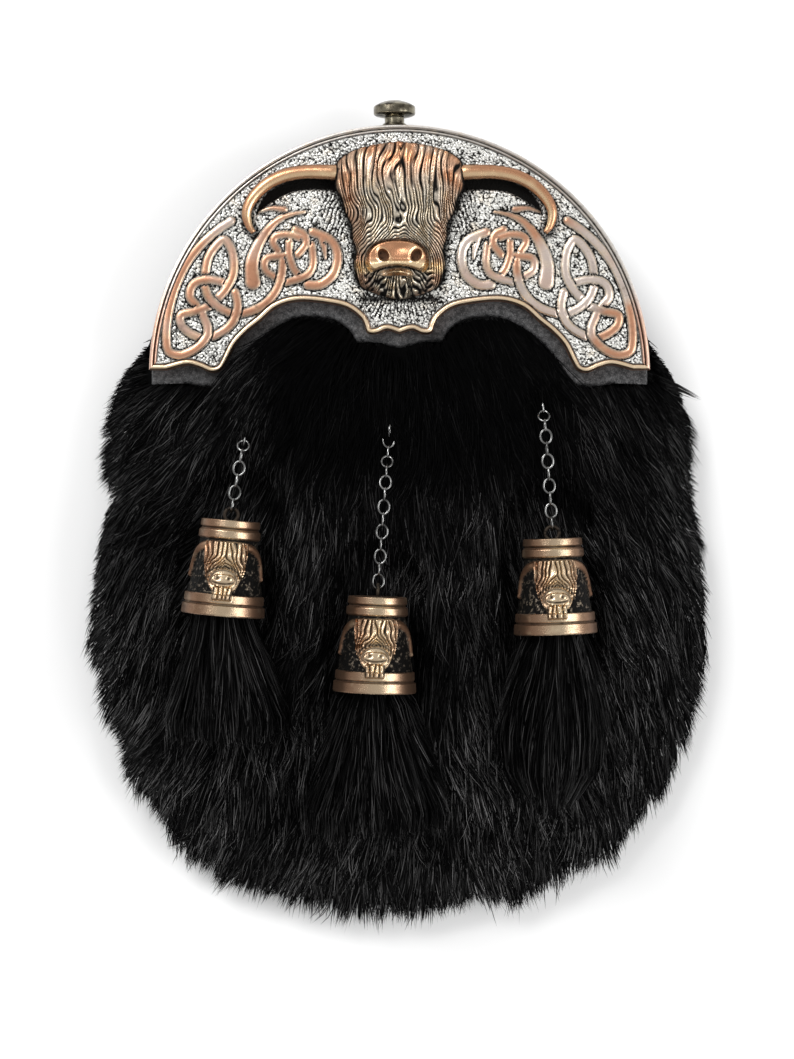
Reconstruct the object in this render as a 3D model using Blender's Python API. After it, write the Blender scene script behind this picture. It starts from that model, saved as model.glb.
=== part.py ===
"""Full-dress sporran pouch lying on its back, +Z up, +Y towards its top knob.

A hollow leather pouch carries a deep fur pelt, a cast cantle with raised knotwork and a
horned cow's head, a press knob, and three chains that each end in a bell with a tassel.
The back panel and the two belt loops rest on the plane Z = 0.
"""

import math
import random
from typing import NamedTuple

import bmesh
import bpy
from mathutils import Matrix, Vector

MM = 0.001

# Cantle: a half disc whose arc centre is the reference of the upper half
CANTLE_RADIUS = 75.0 * MM
CANTLE_CENTRE_Y = 40.5 * MM
CANTLE_ARC_STEPS = 24
PLATE_THICKNESS = 2.5 * MM
RIM_WIDTH = 2.2 * MM
RIM_HEIGHT = 1.0 * MM
KNOT_WIDTH = 2.6 * MM
KNOT_HEIGHT = 0.9 * MM
KNOT_STEP = 0.03 * MM
KNOT_SINK = 0.6 * MM

# Leather backing under the cantle
BACKING_THICKNESS = 3.5 * MM
BACKING_INSET = 0.5 * MM

# Leather pouch
BAG_BOTTOM_Y = -100.0 * MM
BAG_MOUTH_Y = 95.0 * MM
BAG_HALF_WIDTH = 76.0 * MM
BAG_DEPTH = 24.0 * MM
BAG_TOP_RADIUS = 72.0 * MM
BAG_PLATEAU = 17.5 * MM
LEATHER = 2.0 * MM
ARCH_STEPS = 10
LIFT_START_Y = 12.0 * MM
LIFT_END_Y = 40.0 * MM

# Belt loops on the back
LOOP_LEATHER = 2.5 * MM
LOOP_ROOM = 5.0 * MM
LOOP_WIDTH = 20.0 * MM
LOOP_X = 27.0 * MM
LOOP_BOTTOM_Y = 54.0 * MM
LOOP_SPAN = 32.0 * MM
LOOP_FOOT = 5.0 * MM
LOOP_RISE = 2.0 * MM

# Fur pelt: a fan of locks about a point under the cantle
FUR_CENTRE_Y = 64.0 * MM
FUR_LENGTH = 188.0 * MM
FUR_HEIGHT = 36.0 * MM
FUR_EDGE_Z = 9.0 * MM
FUR_UNDERSIDE_Z = 5.0 * MM
FUR_END_ANGLE = 80.0
FUR_COLUMNS = 44
LOCK_RELIEF = 1.3 * MM
LOCK_NOTCH = 0.06
LOCK_JITTER = 0.012
FUR_SEED = 7

# Cow's head on the cantle
HEAD_RELIEF = 5.2 * MM
HEAD_EDGE = 1.6 * MM
STRAND_RELIEF = 0.45 * MM
HEAD_COLUMNS = 10
MUZZLE_HALF_WIDTH = 8.6 * MM
MUZZLE_HALF_LENGTH = 6.6 * MM
MUZZLE_HEIGHT = 7.8 * MM
MUZZLE_Y_SHARE = 0.45
HORN_RADIUS = 1.75 * MM
HORN_ROOT_RADIUS = 2.5 * MM
HORN_TIP_RADIUS = 0.7 * MM
HORN_SIDES = 6

# Press knob and its housing
KNOB_X = -1.5 * MM
KNOB_HEAD_RADIUS = 6.3 * MM
KNOB_HEAD_HEIGHT = 5.2 * MM
STEM_RADIUS = 2.95 * MM
STEM_IN_HOUSING = 8.0 * MM
KNOB_TRAVEL = 1.7 * MM
HOUSING_WALL = 1.0 * MM
HOUSING_FLARE = 0.9 * MM
HOUSING_FLARE_HEIGHT = 1.2 * MM
KNOB_SIDES = 12

# Chains: oval cable links
LINK_LENGTH = 4.8 * MM
LINK_WIDTH = 3.9 * MM
WIRE_RADIUS = 0.33 * MM
LINK_BITE = 0.15 * MM
LINK_STEPS = 10
WIRE_SIDES = 5
EYE_RADIUS = 2.0 * MM
EYE_STEPS = 8
EYE_WIRE_RADIUS = 0.5 * MM
POST_RADIUS = 1.0 * MM
ANCHOR_Z = 34.0 * MM
PENDANT_Z = 42.0 * MM
CHAIN_RISE_SHARE = 0.4

# Bells
BELL_HEIGHT = 27.8 * MM
BELL_RADIUS = 12.2 * MM
BELL_WALL = 1.2 * MM
BELL_TOP_WALL = 1.6 * MM
BELL_SIDES = 10
RELIEF_HALF_WIDTH = 6.4 * MM
RELIEF_HEIGHT = 2.2 * MM

# Tassels
TASSEL_LENGTH = 51.0 * MM
TASSEL_HALF_WIDTH = 22.0 * MM
TASSEL_DROP = 8.0 * MM
TASSEL_HALF_DEPTH = 10.5 * MM
TASSEL_SEAT_SHARE = 0.09
TASSEL_COLUMNS = 16
TASSEL_CLEAR = 3.0 * MM
TASSEL_RIB = 0.07
TASSEL_RAGGED = 0.05

# Clearances between pieces that touch on the real thing
GAP = 0.3 * MM
FUR_GAP = 0.6 * MM
ROOM_SIDES = 10

# Heights of the stack behind the cantle, from the floor up
LIFT = LOOP_ROOM + LOOP_LEATHER
BACKING_Z = BAG_PLATEAU + GAP
PLATE_Z = BACKING_Z + BACKING_THICKNESS + GAP
PLATE_TOP = PLATE_Z + PLATE_THICKNESS
KNOB_Z = PLATE_Z - GAP - HOUSING_WALL - STEM_RADIUS - GAP

# The knob's head stops one clearance above its housing when it is pressed
HOUSING_TOP_Y = CANTLE_CENTRE_Y + CANTLE_RADIUS + HOUSING_FLARE_HEIGHT
KNOB_TOP_Y = HOUSING_TOP_Y + GAP + KNOB_TRAVEL + KNOB_HEAD_HEIGHT


class BagSection(NamedTuple):
    """One section of the pouch, as shares of its length, half width and depth."""

    along: float
    width: float
    height: float
    squareness: float


BAG_SECTIONS = (
    BagSection(0.00, 0.34, 0.34, 2.4),
    BagSection(0.03, 0.52, 0.52, 2.4),
    BagSection(0.08, 0.70, 0.70, 2.5),
    BagSection(0.16, 0.86, 0.88, 2.6),
    BagSection(0.28, 0.96, 0.98, 2.7),
    BagSection(0.42, 1.00, 1.00, 2.8),
    BagSection(0.56, 0.99, 0.95, 3.0),
    BagSection(0.66, 0.97, 0.83, 3.6),
)

# Rows of the cantle's part of the pouch, as shares of the way from its centre to the mouth
BAG_UPPER_ROWS = (-0.08, 0.4, 0.75, 1.0)
PANEL_UPPER_ROWS = (0.82, 0.91, 0.97)


class FurEdge(NamedTuple):
    """Reach of the pelt at an angle from straight down, as a share of its length."""

    angle: float
    reach: float
    pile: float


FUR_EDGE = (
    FurEdge(0, 1.00, 1.00),
    FurEdge(11, 0.995, 1.00),
    FurEdge(18, 0.98, 1.00),
    FurEdge(23, 0.955, 1.00),
    FurEdge(29, 0.90, 1.00),
    FurEdge(36, 0.82, 1.00),
    FurEdge(42, 0.75, 1.00),
    FurEdge(49, 0.66, 0.98),
    FurEdge(55, 0.585, 0.94),
    FurEdge(63, 0.535, 0.86),
    FurEdge(72, 0.485, 0.74),
    FurEdge(80, 0.42, 0.60),
)

# Profile of the pelt from its centre to its edge: share of the reach, share of the pile
FUR_PROFILE = ((0.18, 0.72), (0.32, 0.90), (0.46, 1.00), (0.59, 0.99), (0.71, 0.91),
               (0.82, 0.75), (0.91, 0.50), (1.00, 0.0))
FUR_UNDERSIDE_SHARE = 0.86


class Pendant(NamedTuple):
    """A chain with its bell and tassel; leans are degrees from straight down."""

    name: str
    anchor_x: float
    anchor_down: float
    links: int
    chain_lean: float
    bell_lean: float
    tassel_lean: float
    tassel_length: float
    tassel_half_width: float
    tassel_drop: float
    profile: tuple


# Tassel profiles: share of the length, share of the half width
FLARED = ((0.0, 0.52), (0.18, 0.60), (0.40, 0.75), (0.62, 0.88), (0.82, 1.0), (1.0, 0.92))
BULB = ((0.0, 0.64), (0.18, 0.78), (0.38, 0.94), (0.58, 1.0), (0.80, 0.86), (1.0, 0.42))

# Anchors: share of the pouch's half width across, share of the fur's length down
PENDANTS = (
    Pendant("left", -0.59, 0.215, 8, -10.0, -5.0, 1.8, 0.725 * TASSEL_LENGTH,
            0.84 * TASSEL_HALF_WIDTH, 0.625 * TASSEL_DROP, FLARED),
    Pendant("middle", -0.04, 0.222, 13, -4.2, -2.0, 1.0, 0.845 * TASSEL_LENGTH,
            TASSEL_HALF_WIDTH, TASSEL_DROP, FLARED),
    Pendant("right", 0.55, 0.152, 12, 3.8, 2.0, -1.0, TASSEL_LENGTH,
            0.75 * TASSEL_HALF_WIDTH, 0.875 * TASSEL_DROP, BULB),
)

# Scalloped lower edges from the outer corner to the middle, as shares of the cantle's radius
CANTLE_LOWER_EDGE = (
    (0.99, 0.02), (0.93, 0.02), (0.85, 0.04), (0.80, 0.03), (0.75, 0.01), (0.71, 0.02),
    (0.685, 0.06), (0.655, 0.12), (0.61, 0.17), (0.555, 0.215), (0.49, 0.27), (0.40, 0.295),
    (0.28, 0.285), (0.205, 0.265), (0.15, 0.22), (0.13, 0.17), (0.09, 0.165), (0.05, 0.18),
    (0.0, 0.165),
)
BACKING_LOWER_EDGE = (
    (0.97, -0.03), (0.86, -0.03), (0.775, -0.045), (0.70, -0.035), (0.665, 0.0), (0.625, 0.07),
    (0.555, 0.145), (0.48, 0.20), (0.395, 0.235), (0.28, 0.23), (0.22, 0.20), (0.19, 0.17),
    (0.17, 0.135), (0.105, 0.135), (0.0, 0.11),
)


class Stroke(NamedTuple):
    """One raised band of the knotwork: widths as shares of the knot width, points as shares
    of the cantle's radius, outwards and up from the arc's centre."""

    start_width: float
    end_width: float
    points: tuple


KNOTWORK = (
    Stroke(1.0, 1.0, ((0.67, 0.615), (0.73, 0.575), (0.79, 0.52), (0.845, 0.45), (0.885, 0.37),
                      (0.91, 0.295), (0.925, 0.22), (0.93, 0.145), (0.92, 0.095), (0.88, 0.08),
                      (0.84, 0.09), (0.80, 0.115), (0.77, 0.15), (0.765, 0.19), (0.785, 0.24))),
    Stroke(1.0, 1.0, ((0.775, 0.405), (0.765, 0.46), (0.74, 0.505), (0.70, 0.54), (0.67, 0.50),
                      (0.66, 0.445), (0.665, 0.395), (0.69, 0.345), (0.72, 0.31))),
    Stroke(1.0, 1.0, ((0.70, 0.37), (0.75, 0.38), (0.80, 0.375), (0.83, 0.35), (0.835, 0.31),
                      (0.81, 0.28))),
    Stroke(1.0, 1.0, ((0.775, 0.35), (0.76, 0.31), (0.72, 0.27), (0.67, 0.245))),
    Stroke(1.0, 1.0, ((0.655, 0.33), (0.645, 0.275), (0.66, 0.22), (0.69, 0.185), (0.74, 0.155))),
    Stroke(1.0, 1.0, ((0.755, 0.275), (0.81, 0.255), (0.87, 0.24), (0.87, 0.20), (0.84, 0.17),
                      (0.80, 0.15))),
    Stroke(1.0, 1.0, ((0.63, 0.245), (0.58, 0.26), (0.53, 0.29), (0.49, 0.34), (0.47, 0.40),
                      (0.465, 0.455))),
    Stroke(0.4, 1.8, ((0.38, 0.65), (0.43, 0.64), (0.48, 0.62), (0.52, 0.585), (0.555, 0.535),
                      (0.58, 0.48), (0.59, 0.43), (0.585, 0.37))),
    Stroke(0.9, 0.9, ((0.39, 0.545), (0.44, 0.56), (0.49, 0.555), (0.505, 0.53), (0.485, 0.495))),
    Stroke(0.9, 0.9, ((0.415, 0.58), (0.38, 0.56), (0.375, 0.52), (0.405, 0.48))),
    Stroke(0.9, 0.9, ((0.44, 0.53), (0.44, 0.48), (0.425, 0.43), (0.405, 0.40))),
    Stroke(0.9, 0.9, ((0.35, 0.52), (0.345, 0.44), (0.375, 0.395), (0.45, 0.37))),
    Stroke(0.9, 0.9, ((0.46, 0.475), (0.53, 0.465), (0.535, 0.42), (0.495, 0.39))),
    Stroke(1.1, 1.1, ((0.365, 0.36), (0.32, 0.36), (0.285, 0.38), (0.26, 0.41), (0.247, 0.46),
                      (0.255, 0.51), (0.285, 0.545), (0.345, 0.57))),
    Stroke(1.0, 0.3, ((0.31, 0.55), (0.30, 0.50), (0.295, 0.465))),
    Stroke(0.8, 0.3, ((0.46, 0.66), (0.51, 0.665), (0.56, 0.65))),
    Stroke(0.9, 0.3, ((0.27, 0.73), (0.33, 0.72), (0.38, 0.70))),
    Stroke(0.9, 0.3, ((0.25, 0.66), (0.30, 0.655), (0.35, 0.63))),
)

# Half of the cow's head from its poll to its chin: share of the radius up, half width, relief
HEAD_ROWS = (
    (0.915, 0.09, 0.45), (0.89, 0.19, 0.70), (0.85, 0.24, 0.90), (0.80, 0.255, 1.0),
    (0.74, 0.25, 1.0), (0.68, 0.23, 1.0), (0.62, 0.205, 0.98), (0.56, 0.19, 0.95),
    (0.50, 0.18, 0.90), (0.44, 0.18, 0.85), (0.39, 0.175, 0.75), (0.35, 0.15, 0.60),
    (0.315, 0.06, 0.35),
)
HORN_POINTS = (
    (0.20, 0.80), (0.29, 0.805), (0.38, 0.805), (0.46, 0.79), (0.53, 0.755), (0.585, 0.70),
    (0.608, 0.645), (0.60, 0.595), (0.58, 0.565),
)

# Outside of a bell: share of its height down from the top, share of its greatest radius
BELL_PROFILE = (
    (0.0, 0.70), (0.075, 0.71), (0.09, 0.67), (0.115, 0.73), (0.205, 0.745), (0.22, 0.70),
    (0.74, 0.88), (0.755, 0.945), (0.86, 0.965), (0.875, 0.92), (0.895, 0.99), (1.0, 1.0),
)
# Small cow's head on a bell: share of the height down, half width, relief
BELL_RELIEF_ROWS = (
    (0.24, 0.75, 0.50), (0.33, 1.0, 0.65), (0.48, 0.90, 0.60), (0.59, 0.60, 0.75),
    (0.71, 0.56, 1.0), (0.86, 0.36, 0.75),
)
BELL_HORN_POINTS = ((0.75, 0.30), (1.25, 0.27), (1.5, 0.36), (1.45, 0.46))
BELL_HORN_RADIUS = 0.8 * MM


def clear_scene():
    """Remove every object that the file opened with."""
    for item in list(bpy.data.objects):
        bpy.data.objects.remove(item, do_unlink=True)


def make_material(name, colour, roughness, metallic):
    """Return a Principled material with one plain colour."""
    material = bpy.data.materials.new(name)
    material.use_nodes = True
    shader = material.node_tree.nodes["Principled BSDF"]
    shader.inputs["Base Color"].default_value = (*colour, 1.0)
    shader.inputs["Roughness"].default_value = roughness
    shader.inputs["Metallic"].default_value = metallic
    material.diffuse_color = (*colour, 1.0)
    return material


def make_object(name, vertices, faces, material=None, smooth_angle=None):
    """Return a linked object with its faces turned outwards."""
    mesh = bpy.data.meshes.new(name)
    mesh.from_pydata([tuple(point) for point in vertices], [], faces)
    work = bmesh.new()
    work.from_mesh(mesh)
    bmesh.ops.recalc_face_normals(work, faces=work.faces)
    work.to_mesh(mesh)
    work.free()
    if smooth_angle is not None:
        mesh.shade_smooth()
        mesh.set_sharp_from_angle(angle=math.radians(smooth_angle))
    item = bpy.data.objects.new(name, mesh)
    bpy.context.scene.collection.objects.link(item)
    if material is not None:
        mesh.materials.append(material)
    return item


def add_boolean(target, guide, operation):
    """Cut a guide out of a target or fuse it on; the guide stays as a wire helper."""
    guide.hide_render = True
    guide.display_type = "WIRE"
    modifier = target.modifiers.new(guide.name, "BOOLEAN")
    modifier.operation = operation
    modifier.solver = "EXACT"
    modifier.use_self = operation == "UNION"
    modifier.object = guide


def loft(rings, close_start=True, close_end=True):
    """Return the vertices and faces of a tube through rings of equal length."""
    count = len(rings[0])
    vertices = [point for ring in rings for point in ring]
    faces = []
    for row in range(len(rings) - 1):
        first, second = row * count, (row + 1) * count
        for column in range(count):
            after = (column + 1) % count
            faces.append((first + column, first + after, second + after, second + column))
    if close_start:
        faces.append(tuple(reversed(range(count))))
    if close_end:
        last = (len(rings) - 1) * count
        faces.append(tuple(range(last, last + count)))
    return vertices, faces


def merge_shapes(shapes):
    """Join lists of vertices and faces into one pair of lists."""
    vertices, faces = [], []
    for shape_vertices, shape_faces in shapes:
        start = len(vertices)
        vertices.extend(shape_vertices)
        faces.extend(tuple(index + start for index in face) for face in shape_faces)
    return vertices, faces


def prism(outline, low, high):
    """Return an outline extruded between two heights."""
    return loft([[(x, y, low) for x, y in outline], [(x, y, high) for x, y in outline]])


def offset_outline(outline, distance):
    """Move an anticlockwise outline outwards, or inwards where the distance is negative."""
    moved = []
    for index, point in enumerate(outline):
        here = Vector(point)
        before = here - Vector(outline[index - 1])
        after = Vector(outline[(index + 1) % len(outline)]) - here
        normals = [Vector((edge.y, -edge.x)).normalized() for edge in (before, after)]
        bisector = (normals[0] + normals[1]).normalized()
        stretch = max(bisector.dot(normals[0]), 0.6)
        moved.append(tuple(here + bisector * (distance / stretch)))
    return moved


def interpolate(table, value):
    """Read a table of rows sorted by their first column at a value, row by row linear."""
    if value <= table[0][0]:
        return table[0][1:]
    for lower, upper in zip(table, table[1:]):
        if value <= upper[0]:
            share = (value - lower[0]) / (upper[0] - lower[0])
            return tuple(a + (b - a) * share for a, b in zip(lower[1:], upper[1:]))
    return table[-1][1:]


def smooth_step(share):
    """Ease a share from 0 to 1 with flat ends."""
    share = min(max(share, 0.0), 1.0)
    return share * share * (3.0 - 2.0 * share)


def half_disc(radius, lower_edge, scale):
    """Return the anticlockwise outline of the arc with its mirrored lower edge."""
    start = math.atan2(lower_edge[0][1], lower_edge[0][0])
    sweep = math.pi - 2.0 * start
    arc = [(radius * math.cos(start + sweep * step / CANTLE_ARC_STEPS),
            CANTLE_CENTRE_Y + radius * math.sin(start + sweep * step / CANTLE_ARC_STEPS))
           for step in range(CANTLE_ARC_STEPS + 1)]
    left = [(-x * scale, CANTLE_CENTRE_Y + y * scale) for x, y in lower_edge[1:]]
    right = [(-x, y) for x, y in reversed(left[:-1])]
    return arc + left + right


def back_lift(y):
    """Height of the back over the floor: flat below, lifted by the belt loops above."""
    return LIFT * smooth_step((y - LIFT_START_Y) / (LIFT_END_Y - LIFT_START_Y))


def upper_half_width(y):
    """Half width of the pouch behind the cantle, where it follows the arc."""
    return math.sqrt(BAG_TOP_RADIUS ** 2 - (y - CANTLE_CENTRE_Y) ** 2)


def bag_stations():
    """Return the pouch's sections as y, half width, top height and squareness."""
    length = BAG_MOUTH_Y - BAG_BOTTOM_Y
    stations = [(BAG_BOTTOM_Y + row.along * length, row.width * BAG_HALF_WIDTH,
                 row.height * BAG_DEPTH, row.squareness) for row in BAG_SECTIONS]
    for share in BAG_UPPER_ROWS:
        y = CANTLE_CENTRE_Y + share * (BAG_MOUTH_Y - CANTLE_CENTRE_Y)
        stations.append((y, upper_half_width(y), BAG_PLATEAU, 6.0))
    return stations


def arch(y, half_width, foot, top, squareness):
    """Return the points of an arch across the pouch, from its right foot to its left."""
    points = []
    for step in range(ARCH_STEPS + 1):
        angle = math.pi * step / ARCH_STEPS
        across = abs(math.cos(angle)) ** (2.0 / squareness)
        up = abs(math.sin(angle)) ** (2.0 / squareness) if 0 < step < ARCH_STEPS else 0.0
        x = math.copysign(across, math.cos(angle)) * half_width
        points.append((x, y, foot + up * (top - foot)))
    return points


def make_bag_shell(leather):
    """Make the gusset and front wall, a hollow arch that is closed at the bottom."""
    rings = []
    for index, (y, half_width, top, squareness) in enumerate(bag_stations()):
        foot = back_lift(y) + LEATHER + GAP
        outer = arch(y, half_width, foot, top, squareness)
        inner_top = foot if index == 0 else top - LEATHER
        inner = arch(y, half_width - LEATHER, foot, inner_top, squareness)
        rings.append(outer + inner[::-1])
    return make_object("bag_shell", *loft(rings), leather, 40)


def make_back_panel(leather):
    """Make the flat back of the pouch, bent up behind the cantle."""
    rows = [(y, half_width) for y, half_width, _, _ in bag_stations()]
    for share in PANEL_UPPER_ROWS:
        y = CANTLE_CENTRE_Y + share * BAG_TOP_RADIUS
        rows.append((y, upper_half_width(y)))
    rings = []
    for y, half_width in rows:
        low = back_lift(y)
        rings.append([(-half_width, y, low), (half_width, y, low),
                      (half_width, y, low + LEATHER), (-half_width, y, low + LEATHER)])
    return make_object("back_panel", *loft(rings), leather, 30)


def make_belt_loops(leather):
    """Make the two keepers that a belt slides through, open from side to side."""
    top = LIFT - GAP
    start = LOOP_BOTTOM_Y
    end = start + 2.0 * (LOOP_FOOT + LOOP_RISE) + LOOP_SPAN
    inner = LOOP_FOOT + LOOP_RISE
    profile = [
        (start, top), (start, top - LOOP_LEATHER),
        (start + LOOP_FOOT - LOOP_RISE, top - LOOP_LEATHER),
        (start + LOOP_FOOT, 0.0), (end - LOOP_FOOT, 0.0),
        (end - LOOP_FOOT + LOOP_RISE, top - LOOP_LEATHER), (end, top - LOOP_LEATHER), (end, top),
        (end - LOOP_FOOT, top), (end - inner, LOOP_LEATHER), (start + inner, LOOP_LEATHER),
        (start + LOOP_FOOT, top),
    ]
    for name, side in (("left", -1.0), ("right", 1.0)):
        rings = [[(side * LOOP_X + across * LOOP_WIDTH / 2.0, y, z) for y, z in profile]
                 for across in (-1.0, 1.0)]
        make_object(f"belt_loop_{name}", *loft(rings), leather)


def make_backing(leather):
    """Make the leather layer under the cantle, notched for the catch housing."""
    outline = half_disc(CANTLE_RADIUS - BACKING_INSET, BACKING_LOWER_EDGE, CANTLE_RADIUS)
    backing = make_object("cantle_backing",
                          *prism(outline, BACKING_Z, BACKING_Z + BACKING_THICKNESS), leather)
    radius = STEM_RADIUS + GAP + HOUSING_WALL + GAP
    low = housing_span()[0]
    notch = make_object("backing_notch", *turned([(low - GAP, 0.0), (low - GAP, radius),
                                                  (KNOB_TOP_Y, radius), (KNOB_TOP_Y, 0.0)]))
    add_boolean(backing, notch, "DIFFERENCE")
    return backing


def band(points, start_width, end_width, low, high):
    """Return a flat-topped band along a line of points, narrower or wider at its end."""
    rings = []
    last = len(points) - 1
    for index, point in enumerate(points):
        before, after = points[max(index - 1, 0)], points[min(index + 1, last)]
        along = (Vector(after) - Vector(before)).normalized()
        half = 0.5 * (start_width + (end_width - start_width) * index / last)
        side = Vector((-along.y, along.x)) * half
        left, right = Vector(point) + side, Vector(point) - side
        rings.append([(left.x, left.y, low), (right.x, right.y, low),
                      (right.x, right.y, high), (left.x, left.y, high)])
    return loft(rings)


def make_cantle(pewter):
    """Make the cast half disc with its rim and the raised knotwork of both halves."""
    outline = half_disc(CANTLE_RADIUS, CANTLE_LOWER_EDGE, CANTLE_RADIUS)
    inside = offset_outline(outline, -RIM_WIDTH)
    rim_top = PLATE_TOP + RIM_HEIGHT
    rings = [[(x, y, height) for x, y in line] for line, height in
             ((outline, PLATE_Z), (outline, rim_top), (inside, rim_top), (inside, PLATE_TOP))]
    cantle = make_object("cantle", *loft(rings), pewter)
    bands = []
    for index, stroke in enumerate(KNOTWORK):
        low = PLATE_TOP - KNOT_SINK - index * KNOT_STEP
        high = PLATE_TOP + KNOT_HEIGHT - index * KNOT_STEP
        for side in (-1.0, 1.0):
            points = [(side * x * CANTLE_RADIUS, CANTLE_CENTRE_Y + y * CANTLE_RADIUS)
                      for x, y in stroke.points]
            bands.append(band(points, stroke.start_width * KNOT_WIDTH,
                              stroke.end_width * KNOT_WIDTH, low, high))
    knotwork = make_object("knotwork", *merge_shapes(bands))
    add_boolean(cantle, knotwork, "UNION")
    return cantle


def tube(points, radii, sides, roll=0.0):
    """Return a round tube along points with a radius at each."""
    rings = []
    last = len(points) - 1
    normal = Vector((0.0, 0.0, 1.0))
    for index, point in enumerate(points):
        before, after = points[max(index - 1, 0)], points[min(index + 1, last)]
        along = (Vector(after) - Vector(before)).normalized()
        side = along.cross(normal).normalized()
        up = side.cross(along)
        rings.append([Vector(point) + radii[index] * (math.cos(angle) * side + math.sin(angle) * up)
                      for angle in (roll + 2.0 * math.pi * step / sides for step in range(sides))])
    return loft(rings)


def make_head_mass():
    """Return the hair and face of the cow, ridged like strands, with a flat back."""
    floor = PLATE_TOP + GAP
    columns = HEAD_COLUMNS + 1
    vertices = []
    for row, (up, half_width, relief) in enumerate(HEAD_ROWS):
        for column in range(columns):
            across = 2.0 * column / HEAD_COLUMNS - 1.0
            crown = (1.0 - abs(across) ** 2.4) * relief
            ridge = STRAND_RELIEF * (1.0 if (column + row // 2) % 2 else -1.0)
            height = HEAD_EDGE + (HEAD_RELIEF - HEAD_EDGE) * crown + ridge
            vertices.append((across * half_width * CANTLE_RADIUS,
                             CANTLE_CENTRE_Y + up * CANTLE_RADIUS, floor + height))
    faces = []
    for row in range(len(HEAD_ROWS) - 1):
        for column in range(HEAD_COLUMNS):
            first = row * columns + column
            faces.append((first, first + 1, first + 1 + columns, first + columns))
    last_row = (len(HEAD_ROWS) - 1) * columns
    border = list(range(columns))
    border += [row * columns + HEAD_COLUMNS for row in range(1, len(HEAD_ROWS))]
    border += [last_row + column for column in range(HEAD_COLUMNS - 1, -1, -1)]
    border += [row * columns for row in range(len(HEAD_ROWS) - 2, 0, -1)]
    start = len(vertices)
    vertices += [(vertices[index][0], vertices[index][1], floor) for index in border]
    for index, corner in enumerate(border):
        after = (index + 1) % len(border)
        faces.append((corner, border[after], start + after, start + index))
    faces.append(tuple(range(start, start + len(border))))
    return vertices, faces


def make_muzzle():
    """Return the rounded muzzle that stands in front of the face."""
    centre_y = CANTLE_CENTRE_Y + MUZZLE_Y_SHARE * CANTLE_RADIUS
    floor = PLATE_TOP + GAP + HEAD_EDGE
    rings = []
    for size, height in ((1.0, 0.0), (1.0, 0.55), (0.82, 0.88), (0.45, 1.0)):
        rings.append([(size * MUZZLE_HALF_WIDTH * math.cos(angle),
                       centre_y + size * MUZZLE_HALF_LENGTH * math.sin(angle),
                       floor + height * (MUZZLE_HEIGHT - HEAD_EDGE))
                      for angle in (2.0 * math.pi * step / 10 for step in range(10))])
    return loft(rings)


def make_cow_head(copper):
    """Make the head with its muzzle and both horns as one casting."""
    head = make_object("cow_head", *make_head_mass(), copper)
    horns = []
    last = len(HORN_POINTS) - 1
    for side in (-1.0, 1.0):
        points, radii = [], []
        for index, (x, y) in enumerate(HORN_POINTS):
            share = index / last
            if share < 0.25:
                radius = HORN_ROOT_RADIUS + (HORN_RADIUS - HORN_ROOT_RADIUS) * share / 0.25
            else:
                radius = HORN_RADIUS + (HORN_TIP_RADIUS - HORN_RADIUS) * ((share - 0.25) / 0.75) ** 2
            points.append((side * x * CANTLE_RADIUS, CANTLE_CENTRE_Y + y * CANTLE_RADIUS,
                           PLATE_TOP + GAP + max(radius, HORN_RADIUS)))
            radii.append(radius)
        horns.append(tube(points, radii, HORN_SIDES, math.pi / HORN_SIDES))
    add_boolean(head, make_object("horns", *merge_shapes(horns)), "UNION")
    add_boolean(head, make_object("muzzle", *make_muzzle()), "UNION")
    return head


def turned(profile):
    """Return a solid turned about the knob's axis from (y, radius) rows, ends on the axis."""
    vertices = [(KNOB_X, profile[0][0], KNOB_Z)]
    faces = []
    rows = profile[1:-1]
    for y, radius in rows:
        for step in range(KNOB_SIDES):
            angle = 2.0 * math.pi * (step + 0.5) / KNOB_SIDES
            vertices.append((KNOB_X + radius * math.cos(angle), y, KNOB_Z + radius * math.sin(angle)))
    vertices.append((KNOB_X, profile[-1][0], KNOB_Z))
    last = len(vertices) - 1
    for step in range(KNOB_SIDES):
        after = (step + 1) % KNOB_SIDES
        faces.append((0, 1 + step, 1 + after))
        for row in range(len(rows) - 1):
            first, second = 1 + row * KNOB_SIDES, 1 + (row + 1) * KNOB_SIDES
            faces.append((first + step, second + step, second + after, first + after))
        final = 1 + (len(rows) - 1) * KNOB_SIDES
        faces.append((final + step, last, final + after))
    return vertices, faces


def housing_span():
    """Return the y of the housing's closed end and of its open, flared top."""
    return HOUSING_TOP_Y - STEM_IN_HOUSING - KNOB_TRAVEL - GAP - HOUSING_WALL, HOUSING_TOP_Y


def make_catch(brass):
    """Make the press knob with its stem, and the tube that guides the stem."""
    low, high = housing_span()
    bore = STEM_RADIUS + GAP
    outer = bore + HOUSING_WALL
    flare = outer + HOUSING_FLARE
    flare_low = high - HOUSING_FLARE_HEIGHT + GAP
    housing = [(low, 0.0), (low, outer), (flare_low, outer), (flare_low, flare), (high, outer),
               (high, bore), (low + HOUSING_WALL, bore), (low + HOUSING_WALL, 0.0)]
    make_object("catch_housing", *turned(housing), brass, 40)
    head_low = KNOB_TOP_Y - KNOB_HEAD_HEIGHT
    knob = [(high - STEM_IN_HOUSING, 0.0), (high - STEM_IN_HOUSING, STEM_RADIUS),
            (head_low, STEM_RADIUS), (head_low, 0.86 * KNOB_HEAD_RADIUS),
            (head_low + 0.25 * KNOB_HEAD_HEIGHT, KNOB_HEAD_RADIUS),
            (head_low + 0.6 * KNOB_HEAD_HEIGHT, KNOB_HEAD_RADIUS),
            (head_low + 0.85 * KNOB_HEAD_HEIGHT, 0.86 * KNOB_HEAD_RADIUS),
            (KNOB_TOP_Y, 0.5 * KNOB_HEAD_RADIUS), (KNOB_TOP_Y, 0.0)]
    make_object("catch_knob", *turned(knob), brass, 40)


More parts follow.
